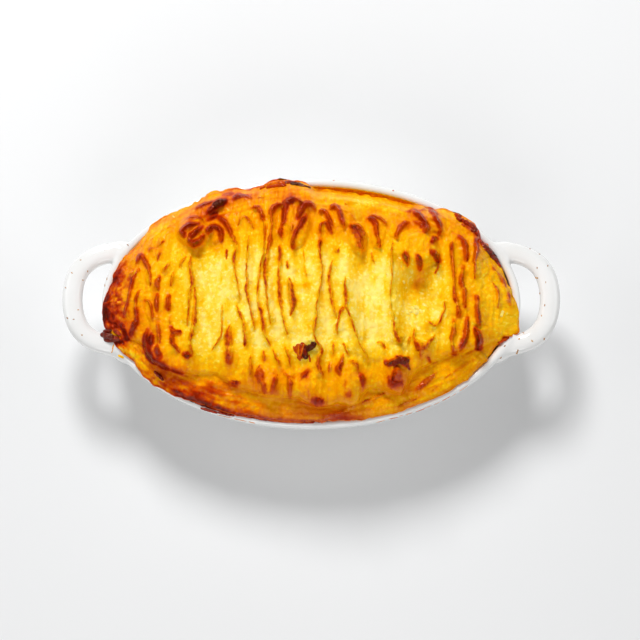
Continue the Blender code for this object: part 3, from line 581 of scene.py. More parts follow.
def lobe_fields(x, y):
    """How nearly each point is in line with a lobe, from 0 to 1, and the lobes' extra height."""
    lobed, lobes = np.zeros_like(x), np.zeros_like(x)
    for centre_x, centre_y, half_x, half_y, rise in LOBES:
        across = ((x - centre_x) / half_x) ** 2
        lobed = np.maximum(lobed, np.exp(-across))
        lobes = np.maximum(lobes, 1.3 * rise * np.exp(-1.2 * (across + ((y - centre_y) / half_y) ** 2)))
    return lobed, lobes


def heads_and_hollows(x, y, relief):
    """Height that the raised heads add and the hollows take away."""
    height = np.zeros_like(x)
    for centre_x, centre_y, half_x, half_y, sink in HOLLOWS:
        away = ((x - centre_x) / half_x) ** 2 + ((y - centre_y) / half_y) ** 2
        height -= sink * np.exp(-1.5 * away**1.4)
    for centre_x, centre_y, half_x, half_y, rise in HEADS:
        away = np.hypot((x - centre_x) / half_x, (y - centre_y) / half_y)
        height += rise * ease(2.4 * (1 - away) + 0.12 * relief)
    return height


def golden_toast_and_painted_shade(x, y, lines):
    """Toast of plain potato: golden, pale in the grooves of the middle, browner in patches, some of which
    are painted shade under heads and in folds.
    """
    pale = np.exp(-((np.abs(x + 2) / 64) ** 4)) * ease((y + 36) / 16) * ease((36 - y) / 20)
    pale = pale * np.clip(0.86 + 0.9 * rough_noise(x, y, 4.5, 131, 3, 2.0), 0, 1.2)
    toast = GOLD - PALE * pale + 0.06 * rough_noise(x, y, 9, 81, 3) + 0.05 * lines
    for centre_x, centre_y, half_x, half_y, amount in TOAST_AND_PAINTED_SHADE_PATCHES:
        away = ((x - centre_x) / half_x) ** 2 + ((y - centre_y) / half_y) ** 2
        toast = toast + 0.45 * amount * np.exp(-1.4 * away)
    return toast


def edge_toast(x, y, bearing, depth):
    """Extra toast along the crust's edge."""
    ragged = 0.75 + 0.6 * rough_noise(x, y, 3, 91, 3)
    fading = 0.30 * np.exp(-depth / 2.2) + 0.32 * np.exp(-((depth / 0.9) ** 2))
    return table_value(EDGE_TONE, 1, np.degrees(bearing)) * ragged * fading


def potato(x, y):
    """Height in mm and toast from 0 to about 1 at flat arrays of plan points inside the crust; the toast
    includes painted shade in the crease and in some patches.
    """
    inset, bearing = inset_and_bearing(x, y)
    level_inset = inset - edge_row(bearing, 1)
    depth = np.maximum(level_inset - edge_raggedness(bearing) * np.exp(-np.maximum(level_inset, 0) / 1.5), 0)
    inner = ease(depth / EDGE_EASE)
    behind = shelf_distance(x, y)
    forked = ease((behind + 0.5) / 2.5)
    lobed, lobes = lobe_fields(x, y)
    rise = table_value(SHELF_RISE, 1, x) * (0.6 + 0.4 * lobed)
    step = np.clip(behind / FRONT_SLOPE, 0, 1)
    relief, core, halo = crest_fields(x, y)
    lines = fork_lines(x, y) * forked

    height = mound_height(x, y, bearing, depth)
    height += (rise * np.sqrt(step * (2 - step)) + lobes * forked) * inner
    height += relief * (0.25 + 0.75 * inner) * (0.45 + 0.55 * forked)
    height += STROKE_HEIGHT * lines * inner * np.exp(-relief) * ease((behind - 2.5) / 3)
    height += heads_and_hollows(x, y, relief)

    # Fork streaks down the grooves, swept streaks along the rim, crumbly crust at the left end.
    streak = rough_noise(x, y, 2.6, 41, 2, 2.2)
    swept = rough_noise(inset, bearing * RIM_PER_RADIAN, 1.8, 51, 2, 8.0)
    back = ease((y - 40 * np.sqrt(np.maximum(0, 1 - (x / 98) ** 2))) / 6)
    smooth_apron = np.maximum(back, 1 - forked)
    crumbly = ease((-84 - x) / 8) + 0.7 * ease((-behind - 1) / 5) * ease((-x - 10) / 25)
    calm = ease((behind - 3) / 4)
    grain = rough_noise(x, y, 2.6, 61, 2) * (0.4 + 0.6 * np.maximum(calm, 1 - forked))
    height += inner * STREAK_HEIGHT * (streak * (1 - back) * forked * calm + swept * smooth_apron)
    height += GRAIN_HEIGHT * grain + CRUMB_HEIGHT * crumbly * rough_noise(x, y, 2.6, 71, 2)

    # Toast, with painted shade making it a little darker in the crease under the forked layer, and browner
    # beside the crests.
    toast = golden_toast_and_painted_shade(x, y, lines) + edge_toast(x, y, bearing, depth)
    blotches = rough_noise(inset, bearing * RIM_PER_RADIAN, 3.2, 101, 4, 2.0)
    toast += CRUMB_BLOTCHES * crumbly * np.maximum(blotches, -0.4) + 0.12 * swept * smooth_apron
    ahead = behind + 1.0
    painted_crease_shade = CREASE_PAINTED_SHADE * np.exp(-((ahead / 1.3) ** 2)) + CREASE_SHADE * np.exp(-((ahead / 3.0) ** 2))
    toast += painted_crease_shade * inner
    toast += np.maximum(halo - FAINT_HALO, 0) + 0.35 * np.minimum(halo, FAINT_HALO)
    mottles = np.maximum(rough_noise(x, y, 3.0, 181, 3), 0)
    toast += LOBE_MOTTLING * lobed * forked * ease((-27 - y) / 8) * mottles
    toast = np.maximum(toast, core)
    over_lip = lip_height(inset) + 0.4 * ease(depth / 0.5)
    height = np.where(inset < WALL, np.maximum(height, over_lip), height)
    return height, toast


# ---------------------------------------------------------------- meshes


def new_object(name, vertices, faces, material, smooth=True):
    mesh = bpy.data.meshes.new(name)
    mesh.from_pydata(np.asarray(vertices).tolist(), [], faces)
    mesh.validate()
    if smooth:
        mesh.shade_smooth()
    mesh.materials.append(material)
    made = bpy.data.objects.new(name, mesh)
    bpy.context.scene.collection.objects.link(made)
    return made


def toasted_object(name, vertices, faces, material, tones):
    """An object from points in millimetres, with the toast of each."""
    piece = new_object(name, np.asarray(vertices) * MM, faces, material)
    attribute = piece.data.attributes.new("toast", "FLOAT", "POINT")
    attribute.data.foreach_set("value", np.asarray(tones, dtype=np.float32))
    return piece


def tube_faces(base, rings, sides):
    """Quads between closed rings of vertices that are numbered on from base."""
    return [
        (a + i, a + (i + 1) % sides, a + sides + (i + 1) % sides, a + sides + i)
        for a in range(base, base + (rings - 1) * sides, sides)
        for i in range(sides)
    ]


def closed_tube_faces(base, rings, sides):
    """The same, with a flat face over each end."""
    first, last = range(base, base + sides), range(base + (rings - 1) * sides, base + rings * sides)
    return [*tube_faces(base, rings, sides), tuple(first)[::-1], tuple(last)]


COLUMNS = 510
ROWS = 166
COLUMN_ROUNDING = 0.30
EDGE_MARGIN = 0.5
HIDDEN_TOAST = 0.4
SKIRT_GAP = 0.6


def make_pie(material):
    """The whole pie: fine ridged top, edge over the lip, and hidden sides down to the dish's floor."""
    even = np.linspace(-1, 1, COLUMNS + 1)
    spread = COLUMN_ROUNDING * np.sin(math.pi / 2 * even) + (1 - COLUMN_ROUNDING) * even
    back_angles = np.arccos(np.clip(spread, -1, 1))
    shares = np.linspace(0, 1, ROWS + 1)
    front_x, front_y = oval(-back_angles, crust_inset(-back_angles) + EDGE_MARGIN)
    back_x, back_y = oval(back_angles, crust_inset(back_angles) + EDGE_MARGIN)
    x = front_x[:, None] + (back_x - front_x)[:, None] * shares
    y = front_y[:, None] + (back_y - front_y)[:, None] * shares
    height, toast = potato(x.ravel(), y.ravel())
    height, toast = height.reshape(x.shape), toast.reshape(x.shape)

    # The forked layer's front edge bulges out over the apron.
    behind = shelf_distance(x.ravel(), y.ravel()).reshape(x.shape)
    rise = table_value(SHELF_RISE, 1, x)
    bulge = 0.25 * rise * np.exp(-(((behind - 0.8) / 1.5) ** 2))
    y = y - bulge

    top = np.stack([x, y, height], axis=2)
    vertices, tones = [top[0, 0]], [toast[0, 0]]
    numbers = np.zeros((COLUMNS + 1, ROWS + 1), dtype=int)
    for column in range(1, COLUMNS):
        numbers[column] = np.arange(ROWS + 1) + len(vertices)
        vertices += list(top[column])
        tones += list(toast[column])
    numbers[COLUMNS] = len(vertices)
    vertices.append(top[COLUMNS, 0])
    tones.append(toast[COLUMNS, 0])
    faces = []
    for column in range(COLUMNS):
        for row in range(ROWS):
            corners = (
                numbers[column, row],
                numbers[column + 1, row],
                numbers[column + 1, row + 1],
                numbers[column, row + 1],
            )
            faces.append(tuple(dict.fromkeys(int(c) for c in corners)))

    edge_ring = [int(n) for n in numbers[:, 0]] + [int(n) for n in numbers[COLUMNS - 1 : 0 : -1, ROWS]]
    angles = np.concatenate([-back_angles, back_angles[COLUMNS - 1 : 0 : -1]])
    upper = edge_ring
    for ring, tone in pie_skirt(angles):
        lower = list(range(len(vertices), len(vertices) + len(ring)))
        vertices += list(ring)
        tones += list(tone)
        count = len(upper)
        faces += [
            (upper[i], lower[i], lower[(i + 1) % count], upper[(i + 1) % count]) for i in range(count)
        ]
        upper = lower
    faces.append(upper)
    return toasted_object("pie_potato", vertices, faces, material, tones)


def pie_skirt(angles):
    """Rings below the top's edge, with their toast: a rounded edge, then under it to the floor."""
    inset = crust_inset(angles)
    drop = edge_row(angles, 2)
    rest = lip_height(np.clip(inset, 0, WALL)) - drop
    browned = table_value(EDGE_TONE, 1, np.degrees(angles))
    hidden = np.full_like(angles, HIDDEN_TOAST)
    rings = []
    for back, rise, tone in ((0.15, 0.55, 0.62), (0.0, 0.25, 0.68), (0.15, 0.04, 0.7), (0.8, -0.1, 0.7)):
        x, y = oval(angles, inset + back)
        tones = 0.36 + (tone - 0.36) * np.clip(1.3 * browned, 0, 1)
        rings.append((np.stack([x, y, rest + rise * EDGE_THICKNESS * 0.9], axis=1), tones))
    for depth in (5.0, 20.0, 36.0):
        share = (depth / (RIM_Z - FLOOR)) ** SIDE_SQUARENESS
        side = WALL + CAVITY_INSET * (1 - (1 - share) ** (1 / SIDE_SQUARENESS)) + SKIRT_GAP
        x, y = oval(angles, np.maximum(side, inset + 0.8))
        rings.append((np.stack([x, y, np.full_like(x, RIM_Z - depth)], axis=1), hidden))
    x, y = oval(angles, WALL + CAVITY_INSET)
    rings.append((np.stack([x, y, np.full_like(x, FLOOR + SKIRT_GAP)], axis=1), hidden))
    return rings


CAP_STEP = 0.5
CAP_SIDES = 13
CAP_LIFT = 0.10
CAP_MARGIN = 0.7
CAP_DEPTH = 0.9
CAP_THINNEST = 0.45


def make_crest_caps(material):
    """Toasted skin along the crests: fine strips that follow the potato a hair above it."""
    across = np.linspace(-1, 1, CAP_SIDES)
    vertices, faces, tones = [], [], []
    for line in LINES:
        if line[:, 2].max() < CAP_THINNEST:
            continue
        length = np.hypot(*np.diff(line[:, :2], axis=0).T).sum()
        count = max(8, int(length / CAP_STEP))
        rows = spline(line, count)
        along = np.gradient(rows[:, :2], axis=0)
        along /= np.maximum(np.linalg.norm(along, axis=1), 1e-9)[:, None]
        share = np.linspace(0, 1, count) * length
        taper = ease(np.minimum(share, length - share) / 1.2 + 0.02)
        half = (rows[:, 2] + CAP_MARGIN) * (0.25 + 0.75 * taper)
        offset = half[:, None] * across
        x = rows[:, :1] - along[:, 1:2] * offset
        y = rows[:, 1:2] + along[:, :1] * offset
        height, toast = potato(x.ravel(), y.ravel())
        height, toast = height.reshape(x.shape), toast.reshape(x.shape)
        lift = CAP_LIFT * (1 - 2.4 * across**4) * taper[:, None] - 0.15 * (1 - taper[:, None])
        knobs = 0.12 * rough_noise(x, y, 0.9, 141, 2) * ease((toast - 0.45) / 0.2)
        top = np.stack([x, y, height + lift + knobs], axis=2)
        under = np.stack([x[:, ::-6], y[:, ::-6], height[:, ::-6] - CAP_DEPTH], axis=2)
        ring = np.concatenate([top, under], axis=1)
        ring_toast = np.concatenate([toast, toast[:, ::-6]], axis=1)
        faces += closed_tube_faces(len(vertices), count, ring.shape[1])
        vertices += list(ring.reshape(-1, 3))
        tones += list(ring_toast.ravel())
    return toasted_object("toasted_crests", vertices, faces, material, tones)


# Burnt flakes and crumbs: x, y and lift of both ends, radius, toast.
FLAKES = (
    # curled flake near the middle
    (-6.2, -22.6, 0.6, -5.2, -27.6, 0.4, 1.3, 0.62), (-4.2, -22, 0.9, -3.9, -27.2, 0.6, 1.3, 0.70),
    (-7.3, -23.2, 0.3, -6.8, -25.2, 0.2, 0.8, 0.66), (-2.4, -23.2, 1.0, -2.8, -27, 0.8, 1.2, 0.86),
    (-5.7, -21.8, 1.3, -5.9, -26.6, 1.4, 0.5, 0.52), (-3.3, -21.8, 1.7, -4.8, -27, 1.8, 0.45, 0.56),
    (-6.6, -22, 1.0, -3, -22, 1.3, 0.5, 0.58), (-8.2, -22.9, 0.1, -7.6, -24.8, 0.1, 0.5, 0.60),
    (1.4, -22, 2.4, -1.3, -24.2, 2.0, 1.4, 0.97), (-3.3, -26.8, 1.0, -2.3, -27.8, 0.6, 1.1, 0.98),
    (-0.9, -27, 0.0, -0.5, -29.6, 0.0, 0.5, 0.62), (-6.2, -27.6, 0.0, -5.2, -28.8, 0.0, 0.6, 0.62),
    # cap over the brown lobe
    (35, -30.2, 0.2, 39.5, -31.2, 0.4, 1.0, 0.72), (39, -30.5, 0.5, 42.5, -28.8, 0.9, 1.3, 0.84),
    (41.5, -29.5, 0.9, 45, -29.2, 0.8, 1.6, 0.90), (44.5, -30, 0.5, 46.3, -33, 0.1, 0.7, 0.76),
    # crumbs at the right of the back
    (69.4, 42.4, 0.3, 69.8, 41.6, 0.3, 1.0, 0.68), (71, 41.6, 0.3, 70.8, 41, 0.3, 0.9, 0.70),
    (70.2, 40, 0.4, 70.8, 39.4, 0.4, 1.2, 0.76), (72.4, 39.6, 0.3, 72.8, 38.8, 0.3, 1.0, 0.72),
    (73.8, 38.4, 0.6, 74.4, 37.6, 0.6, 1.4, 0.78), (75.8, 37, 0.6, 76.4, 36.2, 0.6, 1.5, 0.78),
    (77.2, 35.2, 0.8, 77.8, 34.4, 0.8, 1.6, 0.84), (78.6, 33.2, 0.4, 79, 32.4, 0.4, 1.2, 0.76),
    (72.2, 37, 0.2, 72.8, 36.4, 0.2, 0.7, 0.66),
    # crumbly bump on the back edge
    (-24, 54.4, 0.0, -22.6, 55, 0.1, 0.8, 0.62), (-22, 55.6, 0.0, -20.4, 56.2, 0.2, 1.1, 0.54),
    (-20.6, 54.7, 0.1, -18.8, 55, 0.2, 1.0, 0.66), (-18.8, 56.6, 0.2, -16.8, 57, 0.3, 1.2, 0.53),
    (-17.4, 55.2, 0.2, -15.4, 55.4, 0.3, 1.1, 0.64), (-15.4, 57.2, 0.2, -13.6, 57.6, 0.2, 1.1, 0.58),
    (-14.4, 55.6, 0.2, -12.6, 55.8, 0.2, 0.9, 0.70), (-12.4, 57.6, 0.2, -11.4, 57.6, 0.2, 0.9, 0.64),
    # charred knot behind the upper left curls
    (-48.4, 43, 0.0, -46, 45.2, 0.3, 0.8, 0.80), (-45.8, 45.6, 0.3, -42.8, 47.3, 0.4, 1.4, 0.96),
    # near right corner of the crust
    (89.5, -19, 0.0, 93, -17.2, 0.0, 0.9, 0.64), (92.5, -17.2, 0.0, 96.5, -16, 0.0, 1.0, 0.66),
)

# Glossy charred juice, the same way.
CHAR = (
    # lump on the left handle's root
    (-99.6, -15.4, 0.3, -95, -16.4, 0.9, 1.6, 0.90), (-98, -17.6, 0.2, -93.5, -18, 0.5, 1.3, 0.84),
    (-98.6, -13.6, 0.2, -95.6, -13.4, 0.3, 1.0, 0.88), (-95, -16.6, 0.5, -92, -17.4, 0.3, 1.2, 0.80),
    (-93.6, -13.6, 0.1, -91, -15.4, 0.2, 1.0, 0.74),
    # overhang on the back right edge
    (80, 29.5, 0.0, 82.6, 26.6, 0.2, 1.0, 0.76), (82.5, 26.6, 0.2, 85.6, 23.4, 0.4, 1.5, 0.88),
    (84.5, 25, 0.4, 88.3, 21.4, 0.4, 1.4, 1.0), (86, 22.8, 0.3, 88.8, 19.6, 0.2, 1.4, 0.86),
    (88.4, 20, 0.1, 90, 17.6, 0.0, 0.9, 0.74), (81, 27.4, 0.0, 83, 24.8, 0.0, 0.8, 0.72),
    # strip on the back edge
    (-12, 57.6, 0.3, -8.5, 57.2, 0.5, 1.0, 0.80), (-9, 56.6, 0.4, -4.6, 55.9, 0.4, 1.2, 1.0),
    (-5, 55.5, 0.2, -1, 54.8, 0.0, 0.9, 0.86),
    # dark glossy line on the near left edge
    (-74, -33.5, 0.0, -70.5, -37, 0.0, 0.8, 0.82), (-52, -50.5, 0.0, -45, -52.5, 0.0, 0.7, 0.8),
    (-44, -52.5, 0.0, -37, -54, 0.0, 0.6, 0.8),
)

# Pale grains of potato lying in the hollow and at the right end, the same way.
GRAINS = (
    (47.5, -4, -0.6, 48.5, -4.5, -0.5, 1.3, 0.02), (49.5, -3.5, -0.6, 50, -4.5, -0.6, 1.2, 0.0),
    (46.5, -5.5, -0.5, 47.5, -6, -0.5, 1.0, 0.03), (49, -6, -0.6, 50.5, -6, -0.6, 1.3, 0.0),
    (51.5, -5, -0.5, 52, -6, -0.5, 0.9, 0.02), (45, -6.5, -0.3, 45.5, -6.5, -0.3, 0.7, 0.04),
    (53, -2, -0.4, 54, -2.5, -0.4, 0.9, 0.02), (43.5, 8.5, -0.3, 44, 8, -0.3, 0.7, 0.03),
    (41.5, 19.5, -0.1, 42, 19, -0.1, 0.5, 0.02), (90.3, -6.5, -0.2, 91, -5, -0.2, 0.9, 0.03),
    (-66, 41, -0.1, -65.5, 40.5, -0.1, 0.5, 0.03), (36, 12, -0.3, 36.5, 11, -0.3, 0.7, 0.03),
)

# Baked-on specks on the glaze: x and y of both ends, radius, toast.
SPECKS = (
    (-99, 26, -99, 25.5, 0.35, 0.5), (-88, 28, -87.5, 27.5, 0.4, 0.42),
    (-110.5, 20.5, -110, 20.5, 0.35, 0.5), (-107, 15.5, -107, 15, 0.4, 0.5),
    (-114.5, 14.5, -114, 14, 0.4, 0.5), (-109.5, 11, -109, 11, 0.35, 0.5),
    (-117.5, 7.5, -117, 7, 0.35, 0.6), (-111.5, -3.5, -111, -3.5, 0.4, 0.45),
    (-116.5, -7, -116, -7.5, 0.4, 0.55), (-113.5, -8, -113, -8, 0.4, 0.45),
    (-109.5, -15.5, -109, -15.5, 0.35, 0.5), (-97.5, 12, -97.5, 11, 0.4, 0.6),
    (-98.5, 9, -98.5, 8, 0.4, 0.6), (104.5, 26, 105, 26, 0.35, 0.5), (109, 23.5, 109.5, 23.5, 0.35, 0.5),
    (113, 18, 113, 17.5, 0.4, 0.5), (108, 17, 108, 16.5, 0.4, 0.5), (107.5, 12.5, 107, 11.5, 0.6, 0.6),
    (112, 10, 112, 9.5, 0.4, 0.5), (109.5, 5, 109.5, 4.5, 0.4, 0.55),
    (111.5, -1, 111.5, -1.5, 0.45, 0.55), (110, -6, 110, -6.5, 0.4, 0.55),
    (111, -17, 111, -17.5, 0.55, 0.6), (105, -18, 105.5, -18.5, 0.5, 0.55),
    (99.5, -17, 99, -17.5, 0.5, 0.55), (98.5, -22.5, 98, -24, 0.6, 0.6),
    (92.5, -20.5, 92, -21, 0.45, 0.5), (90.5, -26, 90, -26.5, 0.4, 0.45),
    (101, -14, 101.5, -14.5, 0.4, 0.5),
)

# Drips on the glaze, the same way.
DRIPS = (
    # drip and smear under the left handle's root
    (-94, -20, -95, -23.5, 0.6, 0.42), (-91.5, -25, -89.5, -26, 0.9, 0.30),
    # broken brown line on the near right lip
    (31, -57, 35, -56, 0.26, 0.5), (37, -55.4, 41, -54.6, 0.34, 0.54),
    (42, -54.1, 43.5, -53.7, 0.22, 0.5), (45, -53.4, 48, -52.4, 0.26, 0.5),
    (50, -51.8, 53.5, -50.6, 0.38, 0.56), (53.5, -50.4, 57, -49, 0.26, 0.52),
    (58.5, -48.5, 61, -47.4, 0.24, 0.5), (62.5, -46.6, 66, -44.7, 0.36, 0.54),
    (67, -44.4, 69, -43.2, 0.24, 0.5), (70.5, -42.2, 74.5, -39.5, 0.26, 0.48),
    # thin ochre line on the near left lip
    (-44.5, -53.5, -38, -55.5, 0.3, 0.5), (-36.5, -56, -31, -57.5, 0.3, 0.52),
    (-29.5, -57.8, -27, -58.3, 0.3, 0.5),
    # far edge
    (10.5, 59, 11, 59, 0.35, 0.6), (39, 54, 39.5, 54, 0.4, 0.6),
)

ROD_SIDES = 20
ROD_RINGS = 17
ROD_FLATNESS = 0.8
SPECK_SIZE = 0.85


def add_rod(vertices, faces, start, end, radius, roughness):
    """One lumpy, slightly flattened capsule between two points, in mm."""
    start, end = np.array(start, dtype=float), np.array(end, dtype=float)
    along = (end - start) / max(np.linalg.norm(end - start), 1e-6)
    side = np.cross(along, (0.0, 0.0, 1.0))
    side /= max(np.linalg.norm(side), 1e-6)
    up = np.cross(side, along)
    turns = np.linspace(0, 2 * math.pi, ROD_SIDES, endpoint=False)
    base = len(vertices)
    vertices.append(start - along * radius)
    for share in np.linspace(-1, 1, ROD_RINGS):
        middle = (start + end) / 2 + along * share * (np.linalg.norm(end - start) / 2 + 0.75 * radius)
        girth = radius * math.sqrt(max(1 - 0.75 * share**4, 0.05))
        ring = middle + girth * (np.cos(turns)[:, None] * side + ROD_FLATNESS * np.sin(turns)[:, None] * up)
        slanted = 0.7 * ring[:, 2]
        knobs = rough_noise(ring[:, 0] + slanted, ring[:, 1] - slanted, 0.8 + 0.6 * radius, 161, 3)
        vertices.extend(middle + (ring - middle) * (1 + roughness * knobs)[:, None])
    vertices.append(end + along * radius)
    faces += tube_faces(base + 1, ROD_RINGS, ROD_SIDES)
    top = base + 1 + (ROD_RINGS - 1) * ROD_SIDES
    for k in range(ROD_SIDES):
        following = (k + 1) % ROD_SIDES
        faces.append((base, base + 1 + following, base + 1 + k))
        faces.append((top + k, top + following, top + ROD_SIDES))
    return len(vertices) - base


def surface_height(points):
    x, y = np.array(points, dtype=float).T
    return potato(x, y)[0]


def make_lumps(name, rows, material, roughness):
    """Loose bits on the potato: rods half sunk in the surface."""
    vertices, faces, tones = [], [], []
    for x0, y0, lift0, x1, y1, lift1, radius, toast in rows:
        ground = surface_height([(x0, y0), (x1, y1)])
        start, end = (x0, y0, ground[0] + lift0), (x1, y1, ground[1] + lift1)
        tones += [toast] * add_rod(vertices, faces, start, end, radius, roughness)
    return toasted_object(name, vertices, faces, material, tones)


def make_specks(name, rows, dish, material):
    """Specks or drips resting on the dish's upper surface."""
    surface = BVHTree.FromObject(dish, bpy.context.evaluated_depsgraph_get())
    vertices, faces, tones = [], [], []
    for x0, y0, x1, y1, radius, toast in rows:
        ends = []
        for x, y in ((x0, y0), (x1, y1)):
            hit = surface.ray_cast(Vector((x * MM, y * MM, 0.1)), Vector((0, 0, -1)))[0]
            if hit is None:
                hit = surface.find_nearest(Vector((x, y, RIM_Z)) * MM)[0]
            ends.append((*(hit / MM)[:2], hit[2] / MM - 0.45 * radius))
        tones += [toast] * add_rod(vertices, faces, *ends, SPECK_SIZE * radius, 0.5)
    return toasted_object(name, vertices, faces, material, tones)


def make_juice_film(material):
    """Browned juice baked onto the far inner wall between the lip and the sunken crust."""
    angles = np.radians(np.linspace(44, 99, 120))
    drop = edge_row(angles, 2)
    edge = crust_inset(angles)
    fade = ease(drop / 1.5)
    x, y = oval(angles, 0)
    wavy = 0.3 * smooth_noise(x, y, 3.0, 3.0, 171)
    section = (
        (3.6 + 0.5 * wavy, 0.8, 0.22), (3.9 + 0.5 * wavy, 1.3, 0.34), (4.3, 2.0, 0.48),
        (edge + 0.2, drop - 0.2, 0.54), (edge + 1.2, drop + 0.2, 0.56), (edge + 0.6, drop + 3.0, 0.5),
        (4.2, 4.5, 0.5), (3.8 + 0.5 * wavy, 1.6, 0.4),
    )
    rings, tones = [], []
    for inset, below, toast in section:
        x, y = oval(angles, inset)
        rings.append(np.stack([x, y, RIM_Z - below * fade - 0.6 * (1 - fade)], axis=1))
        tones.append(toast)
    points = np.stack(rings, axis=1)
    count, sides = points.shape[:2]
    faces = closed_tube_faces(0, count, sides)
    return toasted_object("juice_film", points.reshape(-1, 3), faces, material, tones * count)


# ---------------------------------------------------------------- dish


MIDDLE_INSET = 60.0
SIDE_STEPS = 14
LIP_STEPS = 12
DISH_VOXEL = 0.95
SURFACE_PASSES = 4
PROBE = 0.05


def dish_profile():
    """The wall's cross-section as inset and height, from the base's middle round to the floor's."""
    points = [(MIDDLE_INSET, 0.0)]
    power = 2 / SIDE_SQUARENESS
    for k in range(SIDE_STEPS, -1, -1):
        turn = k / SIDE_STEPS * math.pi / 2
        points.append(
            (BASE_INSET * (1 - math.cos(turn) ** power), RIM_Z - RIM_Z * math.sin(turn) ** power)
        )
    points = [p for p in points if p[1] < RIM_Z - LIP_R]
    for k in range(LIP_STEPS + 1):
        turn = math.pi * k / LIP_STEPS
        points.append((LIP_R * (1 - math.cos(turn)), RIM_Z - LIP_R * (1 - math.sin(turn))))
    depth = RIM_Z - FLOOR
    for k in range(1, SIDE_STEPS + 1):
        turn = k / SIDE_STEPS * math.pi / 2
        drop = depth * math.sin(turn) ** power
        if drop > LIP_R + 0.5:
            points.append((WALL + CAVITY_INSET * (1 - math.cos(turn) ** power), RIM_Z - drop))
    points.append((MIDDLE_INSET, FLOOR))
    return np.array(points)


def distance_to_profile(inset, height, profile):
    """Signed distance to the wall's cross-section, negative inside the clay."""
    best = np.full(inset.shape, 1e9)
    crossings = np.zeros(inset.shape, dtype=int)
    for a, b in zip(profile[:-1], profile[1:]):
        best = np.minimum(best, nearest_on(inset, height, a, b)[1])
        if a[1] != b[1]:
            between = (height > min(a[1], b[1])) & (height <= max(a[1], b[1]))
            cross_inset = a[0] + (b[0] - a[0]) * (height - a[1]) / (b[1] - a[1])
            crossings += between & (cross_inset > inset)
    return np.where(crossings % 2 == 1, -best, best)


def strap_path():
    """Middle line of the right handle."""
    roots = [oval(angle, LIP_R) for angle in EAR_ROOTS]
    power = 2 / EAR_SQUARENESS
    arc = [
        (
            EAR_CENTRE[0] + EAR_REACH * math.cos(t) ** power,
            EAR_CENTRE[1] + EAR_HALF_HEIGHT * math.copysign(abs(math.sin(t)) ** power, t),
        )
        for t in np.linspace(EAR_SWEEP, -EAR_SWEEP, 7)
    ]
    return spline([roots[0], *arc, roots[1]], 64)


def dish_surface_value(x, y, z, profile, path):
    """Signed distance to body and handles, joined with a soft fillet."""
    inset, _ = inset_and_bearing(x, y)
    body = distance_to_profile(inset, z, profile)
    near_x = np.abs(x)
    best = np.full(x.shape, 1e9)
    share = np.zeros(x.shape)
    for k, (a, b) in enumerate(zip(path[:-1], path[1:])):
        part, away = nearest_on(near_x, y, a, b)
        closer = away < best
        best = np.where(closer, away, best)
        share = np.where(closer, (k + part) / (len(path) - 1), share)
    middle = RIM_Z - STRAP_DROP + STRAP_LIFT * np.sin(math.pi * share)
    across, up = best / STRAP_HALF_WIDTH, np.abs(z - middle) / STRAP_HALF_DEPTH
    section = (across**STRAP_SQUARENESS + up**STRAP_SQUARENESS) ** (1 / STRAP_SQUARENESS)
    strap = (section - 1) * 0.5 * (STRAP_HALF_WIDTH + STRAP_HALF_DEPTH)
    strap = strap + np.maximum(inset - 1.0, 0) * 2.5
    mix = np.clip(0.5 + 0.5 * (strap - body) / FILLET, 0, 1)
    return strap * (1 - mix) + body * mix - FILLET * mix * (1 - mix)


def make_dish(material):
    """Fine glazed dish: a voxel remesh of the frame's dish, drawn onto the exact smooth surface."""
    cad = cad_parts["dish"]
    mesh = cad.data.copy()
    mesh.transform(cad.matrix_world)
    rough = bpy.data.objects.new("dish_glazed", mesh)
    bpy.context.scene.collection.objects.link(rough)
    remesh = rough.modifiers.new("even", "REMESH")
    remesh.mode = "VOXEL"
    remesh.voxel_size = DISH_VOXEL * MM
    evaluated = rough.evaluated_get(bpy.context.evaluated_depsgraph_get())
    fine = bpy.data.meshes.new_from_object(evaluated)
    rough.modifiers.clear()
    rough.data = fine
    bpy.data.meshes.remove(mesh)

    count = len(fine.vertices)
    place = np.empty(count * 3)
    fine.vertices.foreach_get("co", place)
    place = place.reshape(-1, 3) / MM
    profile, path = dish_profile(), strap_path()
    for _ in range(SURFACE_PASSES):
        value = dish_surface_value(*place.T, profile, path)
        slope = np.empty_like(place)
        for axis in range(3):
            moved = place.copy()
            moved[:, axis] += PROBE
            slope[:, axis] = (dish_surface_value(*moved.T, profile, path) - value) / PROBE
        size = np.maximum((slope**2).sum(1), 0.05)
        place -= np.clip(value / size, -1.0, 1.0)[:, None] * slope
    fine.vertices.foreach_set("co", (place * MM).ravel())
    fine.materials.clear()
    fine.materials.append(material)
    fine.shade_smooth()
    fine.update()
    return rough


# ---------------------------------------------------------------- materials


